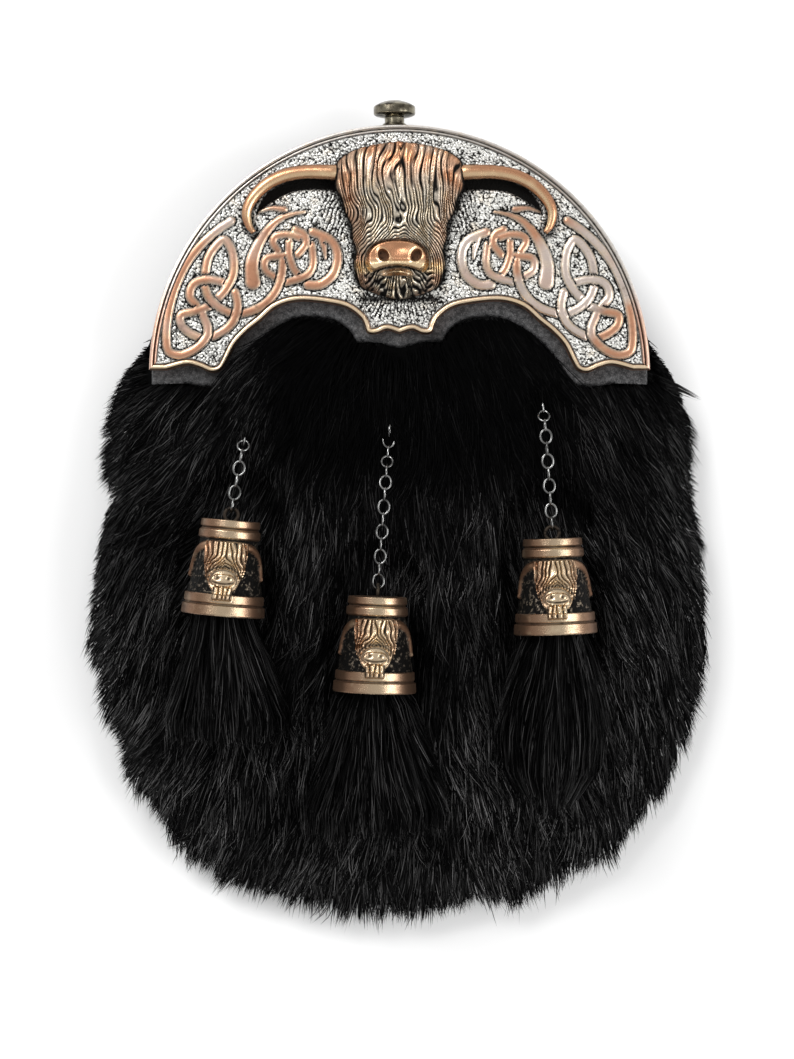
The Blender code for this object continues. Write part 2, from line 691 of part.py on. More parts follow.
def direction(lean, rise=0.0):
    """Return the unit vector at a lean from straight down the pouch."""
    angle = math.radians(lean)
    return Vector((math.sin(angle), -math.cos(angle), rise)).normalized()


def link_pitch():
    """Distance between neighbouring links, whose wires bite into each other."""
    return LINK_LENGTH - 4.0 * WIRE_RADIUS + LINK_BITE


def chain_joints(pendant):
    """Return the points where the chain's links meet, from the anchor to the bell."""
    pitch = link_pitch()
    down = direction(pendant.chain_lean)
    point = Vector((pendant.anchor_x * BAG_HALF_WIDTH,
                    FUR_CENTRE_Y - pendant.anchor_down * FUR_LENGTH, ANCHOR_Z))
    joints = [point]
    for index in range(pendant.links):
        share = (index + 1) / pendant.links / CHAIN_RISE_SHARE
        target = ANCHOR_Z + (PENDANT_Z - ANCHOR_Z) * smooth_step(share)
        rise = target - point.z
        level = math.sqrt(pitch ** 2 - rise ** 2)
        point = point + down * level + Vector((0.0, 0.0, rise))
        joints.append(point)
    return joints


def ring_shape(centre, along, across, half_length, half_width, wire, steps):
    """Return one oval ring of wire in the plane of two directions."""
    normal = along.cross(across)
    rings = []
    for step in range(steps):
        angle = 2.0 * math.pi * step / steps
        middle = centre + half_length * math.cos(angle) * along + half_width * math.sin(angle) * across
        outward = (math.cos(angle) * along / half_length
                   + math.sin(angle) * across / half_width).normalized()
        rings.append([middle - wire * (math.cos(turn) * outward + math.sin(turn) * normal)
                      for turn in (2.0 * math.pi * side / WIRE_SIDES for side in range(WIRE_SIDES))])
    vertices, faces = loft(rings, close_start=False, close_end=False)
    last = (steps - 1) * WIRE_SIDES
    for side in range(WIRE_SIDES):
        after = (side + 1) % WIRE_SIDES
        faces.append((last + side, last + after, after, side))
    return vertices, faces


def link_axes(along, flat):
    """Return the second direction of a link's plane: level where flat, else upright."""
    level = along.cross(Vector((0.0, 0.0, 1.0))).normalized()
    return level if flat else level.cross(along).normalized()


def make_chain(pendant, steel):
    """Make a chain of flat and upright links, each fused to its neighbours."""
    joints = chain_joints(pendant)
    shapes = ([], [])
    for index, (start, end) in enumerate(zip(joints, joints[1:])):
        along = (end - start).normalized()
        shapes[index % 2].append(ring_shape(
            (start + end) / 2.0, along, link_axes(along, index % 2 == 0),
            LINK_LENGTH / 2.0 - WIRE_RADIUS, LINK_WIDTH / 2.0 - WIRE_RADIUS, WIRE_RADIUS,
            LINK_STEPS))
    chain = make_object(f"chain_{pendant.name}", *merge_shapes(shapes[0]), steel)
    upright = make_object(f"upright_links_{pendant.name}", *merge_shapes(shapes[1]))
    add_boolean(chain, upright, "UNION")
    return chain


def eye_centre(end_joint, link_direction, eye_direction):
    """Centre of an eye that a chain's end link passes through with a gap."""
    hold = LINK_LENGTH / 2.0 - 2.0 * WIRE_RADIUS - GAP - EYE_WIRE_RADIUS
    link_centre = end_joint - link_direction * link_pitch() / 2.0
    return link_centre + link_direction * hold + eye_direction * EYE_RADIUS


def bag_top(x, y):
    """Height of the pouch's front wall at a point."""
    half_width, top, squareness = interpolate(bag_stations(), y)
    foot = back_lift(y) + LEATHER + GAP
    share = max(1.0 - abs(x / half_width) ** squareness, 0.0) ** (1.0 / squareness)
    return foot + share * (top - foot)


def make_anchor(pendant, steel):
    """Make the hidden post with the eye that the chain hangs from."""
    joints = chain_joints(pendant)
    along = (joints[0] - joints[1]).normalized()
    centre = eye_centre(joints[0], along, along)
    eye = ring_shape(centre, along, link_axes(along, False), EYE_RADIUS, EYE_RADIUS,
                     EYE_WIRE_RADIUS, EYE_STEPS)
    anchor = make_object(f"chain_anchor_{pendant.name}", *eye, steel)
    foot = bag_top(centre.x, centre.y) + GAP
    top = centre.z - EYE_RADIUS
    post = [[(centre.x + POST_RADIUS * math.cos(angle), centre.y + POST_RADIUS * math.sin(angle), z)
             for angle in (2.0 * math.pi * (step + 0.25) / 6 for step in range(6))]
            for z in (foot, top)]
    add_boolean(anchor, make_object(f"post_{pendant.name}", *loft(post)), "UNION")
    return anchor


class PendantFrame(NamedTuple):
    """Where a bell starts and the directions along it, across it and up from it."""

    origin: Vector
    along: Vector
    across: Vector
    up: Vector


def bell_frame(pendant):
    """Return the frame of a bell: its top sits on the eye that the chain ends in."""
    joints = chain_joints(pendant)
    link = (joints[-1] - joints[-2]).normalized()
    along = direction(pendant.bell_lean)
    centre = eye_centre(joints[-1], link, along)
    up = Vector((0.0, 0.0, 1.0))
    origin = centre + along * (EYE_RADIUS - EYE_WIRE_RADIUS)
    return PendantFrame(origin, along, along.cross(up).normalized(), up)


def turned_rings(frame, rows, sides, depth=1.0):
    """Return rings about a frame's axis from (distance, radius) rows."""
    rings = []
    for distance, radius in rows:
        centre = frame.origin + frame.along * distance
        rings.append([centre + radius * (math.cos(angle) * frame.across
                                         + depth * math.sin(angle) * frame.up)
                      for angle in (2.0 * math.pi * (step + 0.5) / sides for step in range(sides))])
    return rings


def bell_outside(share):
    """Outer radius of a bell at a share of its height."""
    return interpolate(BELL_PROFILE, share)[0] * BELL_RADIUS


def bell_inside(distance):
    """Inner radius of a bell at a distance from its top."""
    share = distance / BELL_HEIGHT
    slope = BELL_PROFILE[0][1] + (BELL_PROFILE[-3][1] - BELL_PROFILE[0][1]) * share
    return slope * BELL_RADIUS - BELL_WALL


def relief_patch(frame):
    """Return the small cow's head that stands on a bell's upper side."""
    columns = 5
    layers = ([], [])
    for down, half_width, relief in BELL_RELIEF_ROWS:
        radius = bell_outside(down)
        for column in range(columns):
            across = 2.0 * column / (columns - 1) - 1.0
            turn = across * half_width * RELIEF_HALF_WIDTH / radius
            height = relief * RELIEF_HEIGHT * (1.0 - 0.75 * across * across)
            inside = bell_inside(down * BELL_HEIGHT) + 0.2 * BELL_WALL
            for layer, reach in zip(layers, (inside, radius + height)):
                layer.append(frame.origin + frame.along * down * BELL_HEIGHT
                             + reach * (math.sin(turn) * frame.across + math.cos(turn) * frame.up))
    rows = len(BELL_RELIEF_ROWS)
    size = rows * columns
    faces = []
    for row in range(rows - 1):
        for column in range(columns - 1):
            first = row * columns + column
            quad = (first, first + 1, first + 1 + columns, first + columns)
            faces.append(tuple(index + size for index in quad))
            faces.append(tuple(reversed(quad)))
    border = list(range(columns)) + [row * columns + columns - 1 for row in range(1, rows)]
    border += [size - 1 - column for column in range(1, columns)]
    border += [row * columns for row in range(rows - 2, 0, -1)]
    for index, corner in enumerate(border):
        after = border[(index + 1) % len(border)]
        faces.append((corner, after, after + size, corner + size))
    return layers[0] + layers[1], faces


def bell_horn(frame, side):
    """Return one small horn that curls round a bell."""
    points, radii = [], []
    for index, (across, down) in enumerate(BELL_HORN_POINTS):
        radius = bell_outside(down) + 0.3 * BELL_HORN_RADIUS
        turn = side * across * RELIEF_HALF_WIDTH / radius
        points.append(frame.origin + frame.along * down * BELL_HEIGHT
                      + radius * (math.sin(turn) * frame.across + math.cos(turn) * frame.up))
        radii.append(BELL_HORN_RADIUS * (1.0 - 0.15 * index))
    return tube(points, radii, 5)


def make_bell(pendant, copper):
    """Make a hollow bell with its rings, its eye and the raised cow's head."""
    frame = bell_frame(pendant)
    outside = [(share * BELL_HEIGHT, radius * BELL_RADIUS) for share, radius in BELL_PROFILE]
    inside = [(BELL_HEIGHT, bell_inside(BELL_HEIGHT)), (BELL_TOP_WALL, bell_inside(BELL_TOP_WALL))]
    bell = make_object(f"bell_{pendant.name}",
                       *loft(turned_rings(frame, outside + inside, BELL_SIDES)), copper, 40)
    joints = chain_joints(pendant)
    link = (joints[-1] - joints[-2]).normalized()
    last_is_flat = (pendant.links - 1) % 2 == 0
    across = frame.up if last_is_flat else frame.across
    centre = eye_centre(joints[-1], link, frame.along)
    eye = ring_shape(centre, frame.along, across, EYE_RADIUS, EYE_RADIUS, EYE_WIRE_RADIUS,
                     EYE_STEPS)
    ornament = merge_shapes((eye, relief_patch(frame), bell_horn(frame, -1.0),
                             bell_horn(frame, 1.0)))
    add_boolean(bell, make_object(f"ornament_{pendant.name}", *ornament), "UNION")
    return bell


def tassel_frame(pendant):
    """Return the frame of a tassel, which hangs from its bell's mouth and sinks a little."""
    bell = bell_frame(pendant)
    origin = bell.origin + bell.along * BELL_HEIGHT
    along = direction(pendant.tassel_lean, -pendant.tassel_drop / pendant.tassel_length)
    across = along.cross(Vector((0.0, 0.0, 1.0))).normalized()
    return PendantFrame(origin, along, across, across.cross(along))


def tassel_half_depth(half_width, share):
    """Half depth of a tassel: round at the bell, flattened where it lies on the fur."""
    return min(half_width, TASSEL_HALF_DEPTH) * (1.0 - 0.1 * share)


def make_tassel(pendant, fur, rng):
    """Make a tassel: a head seated in the bell that spreads into ribbed locks."""
    bell, frame = bell_frame(pendant), tassel_frame(pendant)
    rings = []
    for share in (TASSEL_SEAT_SHARE, 1.0):
        distance = share * BELL_HEIGHT
        radius = (bell_inside(distance) - GAP) * 0.97
        rings += turned_rings(bell, [(distance, radius)], TASSEL_COLUMNS)
    for row, (share, width) in enumerate(pendant.profile):
        half_width = width * pendant.tassel_half_width
        half_depth = tassel_half_depth(half_width, share)
        ring = []
        for column in range(TASSEL_COLUMNS):
            angle = 2.0 * math.pi * (column + 0.5) / TASSEL_COLUMNS
            rib = 1.0 + (TASSEL_RIB if column % 2 else -TASSEL_RIB) * min(1.0, 0.3 + row / 3.0)
            reach = TASSEL_CLEAR + share * (pendant.tassel_length - TASSEL_CLEAR)
            if row == len(pendant.profile) - 1:
                ragged = TASSEL_RAGGED if column % 2 else -TASSEL_RAGGED
                reach += pendant.tassel_length * ragged * rng.uniform(0.6, 1.2)
            ring.append(frame.origin + frame.along * reach
                        + rib * half_width * math.cos(angle) * frame.across
                        + rib * half_depth * math.sin(angle) * frame.up)
        rings.append(ring)
    vertices, faces = loft(rings, close_end=False)
    last = (len(rings) - 1) * TASSEL_COLUMNS
    vertices.append(frame.origin + frame.along * 0.9 * pendant.tassel_length)
    for column in range(TASSEL_COLUMNS):
        after = (column + 1) % TASSEL_COLUMNS
        faces.append((last + column, last + after, len(vertices) - 1))
    return make_object(f"tassel_{pendant.name}", vertices, faces, fur)


def hull(points):
    """Return the convex hull of points."""
    work = bmesh.new()
    for point in points:
        work.verts.new(point)
    result = bmesh.ops.convex_hull(work, input=work.verts)
    inside = [item for item in result["geom_interior"] if isinstance(item, bmesh.types.BMVert)]
    bmesh.ops.delete(work, geom=inside, context="VERTS")
    work.verts.index_update()
    vertices = [vertex.co.copy() for vertex in work.verts]
    faces = [tuple(vertex.index for vertex in face.verts) for face in work.faces]
    work.free()
    return vertices, faces


def pendant_rooms(pendant):
    """Return the rooms in the pelt: an anchor's, its chain's, and its bell and tassel's."""
    slack = 1.0 / math.cos(math.pi / ROOM_SIDES)
    joints = chain_joints(pendant)
    bell, tassel = bell_frame(pendant), tassel_frame(pendant)
    radius = (LINK_LENGTH / 2.0 + 2.0 * FUR_GAP) * slack
    down = direction(pendant.chain_lean)
    chain = []
    for joint in joints:
        frame = PendantFrame(joint, down, Vector((1.0, 0.0, 0.0)), bell.up)
        chain += turned_rings(frame, [(0.0, radius)], ROOM_SIDES)[0]
    rows = [(-FUR_GAP, bell_outside(0.0) * slack + FUR_GAP),
            (BELL_HEIGHT + FUR_GAP, BELL_RADIUS * slack + FUR_GAP)]
    bell_rings = turned_rings(bell, rows, ROOM_SIDES)
    size = (1.0 + TASSEL_RIB) * slack
    hung = bell_rings[0] + bell_rings[1]
    for share, width in pendant.profile[1:]:
        half_width = width * pendant.tassel_half_width
        half_depth = tassel_half_depth(half_width, share)
        centre = tassel.origin + tassel.along * (1.08 * share * pendant.tassel_length)
        for step in range(ROOM_SIDES):
            angle = 2.0 * math.pi * (step + 0.5) / ROOM_SIDES
            hung.append(centre + (half_width * size + FUR_GAP) * math.cos(angle) * tassel.across
                        + (half_depth * size + FUR_GAP) * math.sin(angle) * tassel.up)
    centre = eye_centre(joints[0], -down, -down)
    pit = [Vector((centre.x + radius * math.cos(angle), centre.y + radius * math.sin(angle), z))
           for z in (BAG_DEPTH / 2.0, FUR_HEIGHT + BAG_DEPTH)
           for angle in (2.0 * math.pi * (step + 0.3) / ROOM_SIDES for step in range(ROOM_SIDES))]
    return {"anchor": hull(pit), "chain": hull(chain), "pendant": hull(hung)}


def fur_reach(angle):
    """Reach and pile of the pelt at an angle in degrees from straight down."""
    reach, pile = interpolate(FUR_EDGE, abs(angle))
    return reach * FUR_LENGTH, pile


def make_fur_solid(rng):
    """Return the pelt before it is fitted: rows of locks over a flat underside."""
    vertices, faces = [], []
    centre = Vector((0.0, FUR_CENTRE_Y, 0.0))
    rows = len(FUR_PROFILE) + 1
    columns = FUR_COLUMNS + 1
    for column in range(columns):
        angle = FUR_END_ANGLE * (2.0 * column / FUR_COLUMNS - 1.0)
        reach, pile = fur_reach(angle)
        down = direction(angle)
        tip = column % 2 == 0
        reach *= (1.0 if tip else 1.0 - LOCK_NOTCH) + rng.uniform(-LOCK_JITTER, LOCK_JITTER)
        for row, (share, height) in enumerate(FUR_PROFILE):
            z = FUR_EDGE_Z + (FUR_HEIGHT - FUR_EDGE_Z) * pile * height
            if row < len(FUR_PROFILE) - 1:
                z += LOCK_RELIEF * (1.0 if (column + row) % 2 else -1.0)
            vertices.append(centre + down * reach * share + Vector((0.0, 0.0, z)))
        under = centre + down * reach * FUR_UNDERSIDE_SHARE
        vertices.append(under + Vector((0.0, 0.0, FUR_UNDERSIDE_Z)))
    for column in range(columns - 1):
        for row in range(rows - 1):
            first = column * rows + row
            faces.append((first, first + 1, first + 1 + rows, first + rows))
    top = len(vertices)
    vertices.append(centre + Vector((0.0, 0.0, FUR_HEIGHT * FUR_PROFILE[0][1])))
    bottom = len(vertices)
    vertices.append(centre + Vector((0.0, 0.0, FUR_UNDERSIDE_Z)))
    for column in range(columns - 1):
        faces.append((top, column * rows, (column + 1) * rows))
        faces.append((bottom, (column + 2) * rows - 1, (column + 1) * rows - 1))
    for column in (0, columns - 1):
        side = [column * rows + row for row in range(rows)]
        faces.append(tuple([top] + side + [bottom]))
    return vertices, faces


def bag_core():
    """Return the pouch as a solid block with room round it, for fitting the pelt."""
    rings = []
    grow = GAP + 0.1 * MM
    for index, (y, half_width, top, squareness) in enumerate(bag_stations()):
        if index == 0:
            y -= grow
        outer = arch(y, half_width + grow, back_lift(y) + LEATHER + GAP, top + grow, squareness)
        foot = -FUR_UNDERSIDE_Z
        rings.append([(outer[0][0], y, foot)] + outer + [(outer[-1][0], y, foot)])
    return loft(rings)


def make_fur_pelt(fur, rng):
    """Make the pelt and fit it round the pouch, the backing, the anchors and the pendants."""
    pelt = make_object("fur_pelt", *make_fur_solid(rng), fur)
    add_boolean(pelt, make_object("bag_room", *bag_core()), "DIFFERENCE")
    outline = half_disc(CANTLE_RADIUS + FUR_GAP, BACKING_LOWER_EDGE, CANTLE_RADIUS)
    outline = offset_outline(outline, FUR_GAP)
    high = FUR_HEIGHT + BAG_DEPTH
    room = prism(outline, BACKING_Z - FUR_GAP, high)
    add_boolean(pelt, make_object("backing_room", *room), "DIFFERENCE")
    for pendant in PENDANTS:
        for name, room in pendant_rooms(pendant).items():
            guide = make_object(f"{name}_room_{pendant.name}", *room)
            add_boolean(pelt, guide, "DIFFERENCE")
    return pelt


def main():
    """Build every piece in its place."""
    clear_scene()
    leather = make_material("black_leather", (0.03, 0.03, 0.032), 0.6, 0.0)
    fur = make_material("black_fur", (0.01, 0.01, 0.011), 0.7, 0.0)
    pewter = make_material("pewter", (0.45, 0.44, 0.42), 0.35, 1.0)
    copper = make_material("copper", (0.58, 0.33, 0.19), 0.32, 1.0)
    brass = make_material("aged_brass", (0.42, 0.38, 0.28), 0.35, 1.0)
    steel = make_material("steel", (0.50, 0.50, 0.50), 0.3, 1.0)
    rng = random.Random(FUR_SEED)
    make_back_panel(leather)
    make_bag_shell(leather)
    make_belt_loops(leather)
    make_backing(leather)
    make_cantle(pewter)
    make_cow_head(copper)
    make_catch(brass)
    make_fur_pelt(fur, rng)
    for pendant in PENDANTS:
        make_anchor(pendant, steel)
        make_chain(pendant, steel)
        make_bell(pendant, copper)
        make_tassel(pendant, fur, rng)


main()
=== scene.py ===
"""Looks of a full-dress sporran pouch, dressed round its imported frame.

Sizes are in metres, and MM turns a maker's millimetres into them. The pouch lies on its
back: +X is the photo's right, +Y runs up to the press knob and +Z out of the front.
"""

import logging
import math
from dataclasses import dataclass
from enum import Enum

import bmesh
import bpy
import numpy as np
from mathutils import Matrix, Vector, kdtree


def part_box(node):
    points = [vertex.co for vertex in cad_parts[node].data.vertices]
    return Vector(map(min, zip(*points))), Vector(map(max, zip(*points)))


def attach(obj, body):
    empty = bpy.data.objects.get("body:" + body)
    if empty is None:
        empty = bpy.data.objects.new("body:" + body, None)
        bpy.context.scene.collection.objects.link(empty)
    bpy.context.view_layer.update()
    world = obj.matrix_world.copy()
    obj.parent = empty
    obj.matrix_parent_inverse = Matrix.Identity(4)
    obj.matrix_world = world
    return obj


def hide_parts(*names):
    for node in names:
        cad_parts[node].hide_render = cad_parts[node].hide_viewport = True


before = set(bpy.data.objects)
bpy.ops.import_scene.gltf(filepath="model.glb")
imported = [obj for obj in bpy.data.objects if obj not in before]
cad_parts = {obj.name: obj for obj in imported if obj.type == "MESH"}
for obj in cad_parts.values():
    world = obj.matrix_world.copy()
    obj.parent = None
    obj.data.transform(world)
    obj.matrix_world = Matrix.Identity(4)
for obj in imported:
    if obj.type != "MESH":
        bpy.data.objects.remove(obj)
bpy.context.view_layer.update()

LOG = logging.getLogger("sporran")
MM = 0.001
FAR = 1.0  # metres, beyond any place on the pouch
WELD = 0.001 * MM  # points nearer than this become one
UP = np.array((0.0, 0.0, 1.0))
Array = np.ndarray
Colour = tuple[float, float, float]


class Body(Enum):
    """The two bodies of the frame."""

    POUCH = "pouch"
    KNOB = "knob"


class Slot(Enum):
    """The material slots of the record."""

    FUR = "fur"
    LEATHER = "leather"
    PEWTER = "pewter"
    COPPER = "copper"
    BRASS = "brass"
    STEEL = "steel"


class Signal:
    """A number inside a material; an operator on it adds a Math node."""

    def __init__(self, tree: bpy.types.NodeTree, socket: bpy.types.NodeSocket) -> None:
        """Keep the socket and the tree that holds it."""
        self.tree, self.socket = tree, socket

    def _math(self, operation: str, first: "Signal | float", second: "Signal | float") -> "Signal":
        """Add one Math node.

        Args:
            operation: Blender's name of the operation.
            first: left term.
            second: right term.

        Returns:
            The node's result.
        """
        node = self.tree.nodes.new("ShaderNodeMath")
        node.operation = operation
        for slot, term in zip(node.inputs, (first, second)):
            if isinstance(term, Signal):
                self.tree.links.new(term.socket, slot)
            else:
                slot.default_value = term
        return Signal(self.tree, node.outputs[0])

    def __add__(self, other: "Signal | float") -> "Signal":
        """Sum."""
        return self._math("ADD", self, other)

    def __radd__(self, other: float) -> "Signal":
        """Sum with a number on the left."""
        return self._math("ADD", other, self)

    def __sub__(self, other: "Signal | float") -> "Signal":
        """Difference."""
        return self._math("SUBTRACT", self, other)

    def __rsub__(self, other: float) -> "Signal":
        """Difference with a number on the left."""
        return self._math("SUBTRACT", other, self)

    def __mul__(self, other: "Signal | float") -> "Signal":
        """Product."""
        return self._math("MULTIPLY", self, other)

    def __rmul__(self, other: float) -> "Signal":
        """Product with a number on the left."""
        return self._math("MULTIPLY", other, self)

    def __truediv__(self, other: "Signal | float") -> "Signal":
        """Quotient."""
        return self._math("DIVIDE", self, other)

    def __rtruediv__(self, other: float) -> "Signal":
        """Quotient of a number by this one."""
        return self._math("DIVIDE", other, self)

    def clamped(self) -> "Signal":
        """The same number held between 0 and 1.

        Returns:
            The held number.
        """
        held = self + 0.0
        held.socket.node.use_clamp = True
        return held

    def between(self, low: float, high: float) -> "Signal":
        """The number stretched so that low becomes 0 and high becomes 1, and held there."""
        return ((self - low) / (high - low)).clamped()


class Recipe:
    """The node tree of one Principled material."""

    def __init__(self, name: str) -> None:
        """Start a material with the object's own coordinates at hand.

        Args:
            name: name of the material.
        """
        self.material = bpy.data.materials.new(name)
        self.material.use_nodes = True
        self.tree = self.material.node_tree
        self.shader = self.tree.nodes["Principled BSDF"]
        self.place = self.node("ShaderNodeTexCoord").outputs["Object"]

    def feed(self, slot: bpy.types.NodeSocket, value: object) -> None:
        """Link a socket or set its value.

        Args:
            slot: the input to feed.
            value: a Signal, a socket, a number, a vector or a colour of three numbers.
        """
        if isinstance(value, Signal):
            value = value.socket
        if isinstance(value, bpy.types.NodeSocket):
            self.tree.links.new(value, slot)
        elif slot.type == "RGBA":
            slot.default_value = (*value, 1.0)
        else:
            slot.default_value = value

    def node(self, kind: str, settings: dict | None = None,
             inputs: dict | None = None) -> bpy.types.Node:
        """Add any node.

        Args:
            kind: Blender's type name.
            settings: properties to set first.
            inputs: values or links by the socket's name or number.

        Returns:
            The node.
        """
        node = self.tree.nodes.new(kind)
        for name, value in (settings or {}).items():
            setattr(node, name, value)
        for name, value in (inputs or {}).items():
            self.feed(node.inputs[name], value)
        return node

    def stretched(self, cell: float, stretch: tuple[float, float, float]) -> bpy.types.NodeSocket:
        """Coordinates in which a pattern's cell has the size 1 and runs longer along an axis.

        Args:
            cell: size of the pattern in metres.
            stretch: how much longer it is along each axis.

        Returns:
            The scaled coordinates.
        """
        scale = tuple(1.0 / (cell * share) for share in stretch)
        return self.node("ShaderNodeVectorMath", {"operation": "MULTIPLY"},
                         {0: self.place, 1: scale}).outputs[0]

    def noise(self, cell: float, detail: float = 2.0,
              stretch: tuple[float, float, float] = (1.0, 1.0, 1.0)) -> Signal:
        """Cloudy noise of a real size.

        Args:
            cell: size of the clouds in metres.
            detail: octaves.
            stretch: how much longer the clouds are along each axis.

        Returns:
            The noise, from 0 to 1.
        """
        node = self.node("ShaderNodeTexNoise", {}, {
            "Vector": self.stretched(cell, stretch), "Scale": 1.0, "Detail": detail})
        return Signal(self.tree, node.outputs[0])

    def cells(self, cell: float, feature: str = "F1") -> Signal:
        """Distance inside the cells of a Voronoi pattern.

        Args:
            cell: size of a cell in metres.
            feature: Blender's name of the distance.

        Returns:
            The distance, about 0 to 1.
        """
        node = self.node("ShaderNodeTexVoronoi", {"feature": feature}, {
            "Vector": self.stretched(cell, (1.0, 1.0, 1.0)), "Scale": 1.0})
        return Signal(self.tree, node.outputs["Distance"])

    def painted(self, name: str) -> Signal:
        """The value of that name on the mesh."""
        node = self.node("ShaderNodeAttribute", {"attribute_name": name})
        return Signal(self.tree, node.outputs["Fac"])

    def blend(self, share: Signal | float, first: object, second: object) -> bpy.types.NodeSocket:
        """Mix two colours.

        Args:
            share: how much of the second.
            first: colour or socket.
            second: colour or socket.

        Returns:
            The mixed colour.
        """
        node = self.node("ShaderNodeMix", {"data_type": "RGBA"}, {0: share, 6: first, 7: second})
        return node.outputs[2]

    def relief(self, height: Signal, depth: float, strength: float = 1.0) -> bpy.types.NodeSocket:
        """Turn a height into a bent normal.

        Args:
            height: height from 0 to 1.
            depth: what 1 stands for in metres.
            strength: strength of the effect.

        Returns:
            The normal.
        """
        node = self.node("ShaderNodeBump", {}, {
            "Strength": strength, "Distance": depth, "Height": height})
        return node.outputs["Normal"]

    def dress(self, **inputs: object) -> bpy.types.Material:
        """Feed the shader's own sockets.

        Args:
            **inputs: values or links by the socket's name, with _ for a space.

        Returns:
            The finished material.
        """
        for name, value in inputs.items():
            self.feed(self.shader.inputs[name.replace("_", " ")], value)
        return self.material


@dataclass(frozen=True)
class CastFinish:
    """Antiqued cast metal: pebbled ground, smooth raised work, black recesses, painted shade and
    highlights.
    """

    name: str
    ground: Colour
    raised: Colour
    glint: Colour
    black: Colour = (0.008, 0.0075, 0.007)
    pebble: float = 0.6 * MM
    pits: float = 0.9
    shine: float = 0.27

    def make(self) -> bpy.types.Material:
        """Build the material; it reads copper, black, smooth and the painted highlight from the mesh.

        Returns:
            The finished material.
        """
        recipe = Recipe(self.name)
        copper, black = recipe.painted("copper"), recipe.painted("black")
        worn = recipe.noise(5.0 * MM, detail=3.0)
        base = recipe.blend(copper, self.ground, self.raised)
        # Random wear and the painted highlight share from the mesh blend the base towards the glint
        # colour.
        wear_and_highlight = (worn.between(0.55, 0.78) * 0.4 + recipe.painted("gold")).clamped()
        base = recipe.blend(wear_and_highlight, base, self.glint)
        grain = recipe.cells(self.pebble)
        ground = (1.0 - recipe.painted("smooth")).clamped()
        pits = grain.between(0.48, 0.74) * ground * self.pits
        tarnish = recipe.noise(1.6 * MM, detail=4.0).between(0.52, 0.75) * 0.4
        # The black share from the mesh holds recess patina and painted shade.
        dark = (black + pits + tarnish * (1.0 - copper * 0.5)).clamped()
        fine = recipe.noise(0.25 * MM)
        height = (1.0 - grain) * ground + fine * 0.25
        return recipe.dress(
            Base_Color=recipe.blend(dark, base, self.black),
            Metallic=1.0 - dark * 0.35, Specular_IOR_Level=0.08,
            Roughness=(self.shine + dark * 0.4 + fine * 0.12).clamped(),
            Normal=recipe.relief(height, depth=0.2 * MM, strength=0.8))


@dataclass(frozen=True)
class PlainMetal:
    """Turned or drawn metal with fine marks and a dull film."""

    name: str
    colour: Colour
    film: Colour
    shine: float = 0.2
    brushed: tuple[float, float, float] = (1.0, 1.0, 1.0)

    def make(self) -> bpy.types.Material:
        """Build the material.

        Returns:
            The finished material.
        """
        recipe = Recipe(self.name)
        marks = recipe.noise(0.5 * MM, 3.0, self.brushed)
        film = recipe.noise(3.0 * MM, detail=3.0).between(0.42, 0.66)
        return recipe.dress(
            Base_Color=recipe.blend(film, self.colour, self.film), Metallic=1.0,
            Roughness=(self.shine + film * 0.15 + marks * 0.1).clamped(),
            Normal=recipe.relief(marks, depth=0.03 * MM, strength=0.5))


@dataclass(frozen=True)
class Leather:
    """Grained leather with pores and paler worn places."""

    name: str
    colour: Colour
    worn: Colour
    cell: float = 0.9 * MM
    dullness: float = 0.55
    fleck: float = 9.0 * MM

    def make(self) -> bpy.types.Material:
        """Build the material.

        Returns:
            The finished material.
        """
        recipe = Recipe(self.name)
        grain = recipe.cells(self.cell, "SMOOTH_F1")
        pores = recipe.noise(0.35 * MM, detail=3.0)
        cloud = recipe.noise(self.fleck, detail=3.0)
        shade = (cloud.between(0.4, 0.7) * 0.45 + pores.between(0.5, 0.68) * 0.55).clamped()
        height = (1.0 - grain) * 0.7 + pores * 0.5
        return recipe.dress(
            Base_Color=recipe.blend(shade, self.colour, self.worn),
            Roughness=(self.dullness + pores * 0.2 - shade * 0.1).clamped(),
            Normal=recipe.relief(height, depth=0.14 * MM, strength=0.8))


@dataclass(frozen=True)
class FurFinish:
    """Glossy black hair; the mesh gives each hair's paleness with painted sheen, and painted shade
    where the fur lies flat.
    """

    name: str
    black: Colour = (0.0010, 0.0010, 0.0011)
    pale: Colour = (0.17, 0.166, 0.166)
    gloss: float = 0.34
    specular: float = 0.022

    def make(self) -> bpy.types.Material:
        """Build the material.

        Returns:
            The finished material.
        """
        recipe = Recipe(self.name)
        tone = recipe.painted("tone")
        calm = recipe.painted("calm")
        # Painted sheen from the pale hairs, taken away as painted shade where the fur lies flat.
        lit = (tone * (1.0 - calm * 0.92)).clamped()
        return recipe.dress(
            Base_Color=recipe.blend(lit, self.black, self.pale),
            Roughness=(self.gloss + calm * 0.5).clamped(), Specular_IOR_Level=self.specular,
            Coat_Weight=(lit * 0.9).clamped(), Coat_Roughness=0.3)


@dataclass(frozen=True)
class PaperFinish:
    """Plain matt white floor."""

    name: str
    colour: Colour = (0.93, 0.93, 0.93)

    def make(self) -> bpy.types.Material:
        """Build the material.

        Returns:
            The finished material.
        """
        recipe = Recipe(self.name)
        tooth = recipe.noise(1.0 * MM)
        return recipe.dress(Base_Color=self.colour, Roughness=0.9, Specular_IOR_Level=0.1,
                            Normal=recipe.relief(tooth, depth=0.01 * MM, strength=0.2))


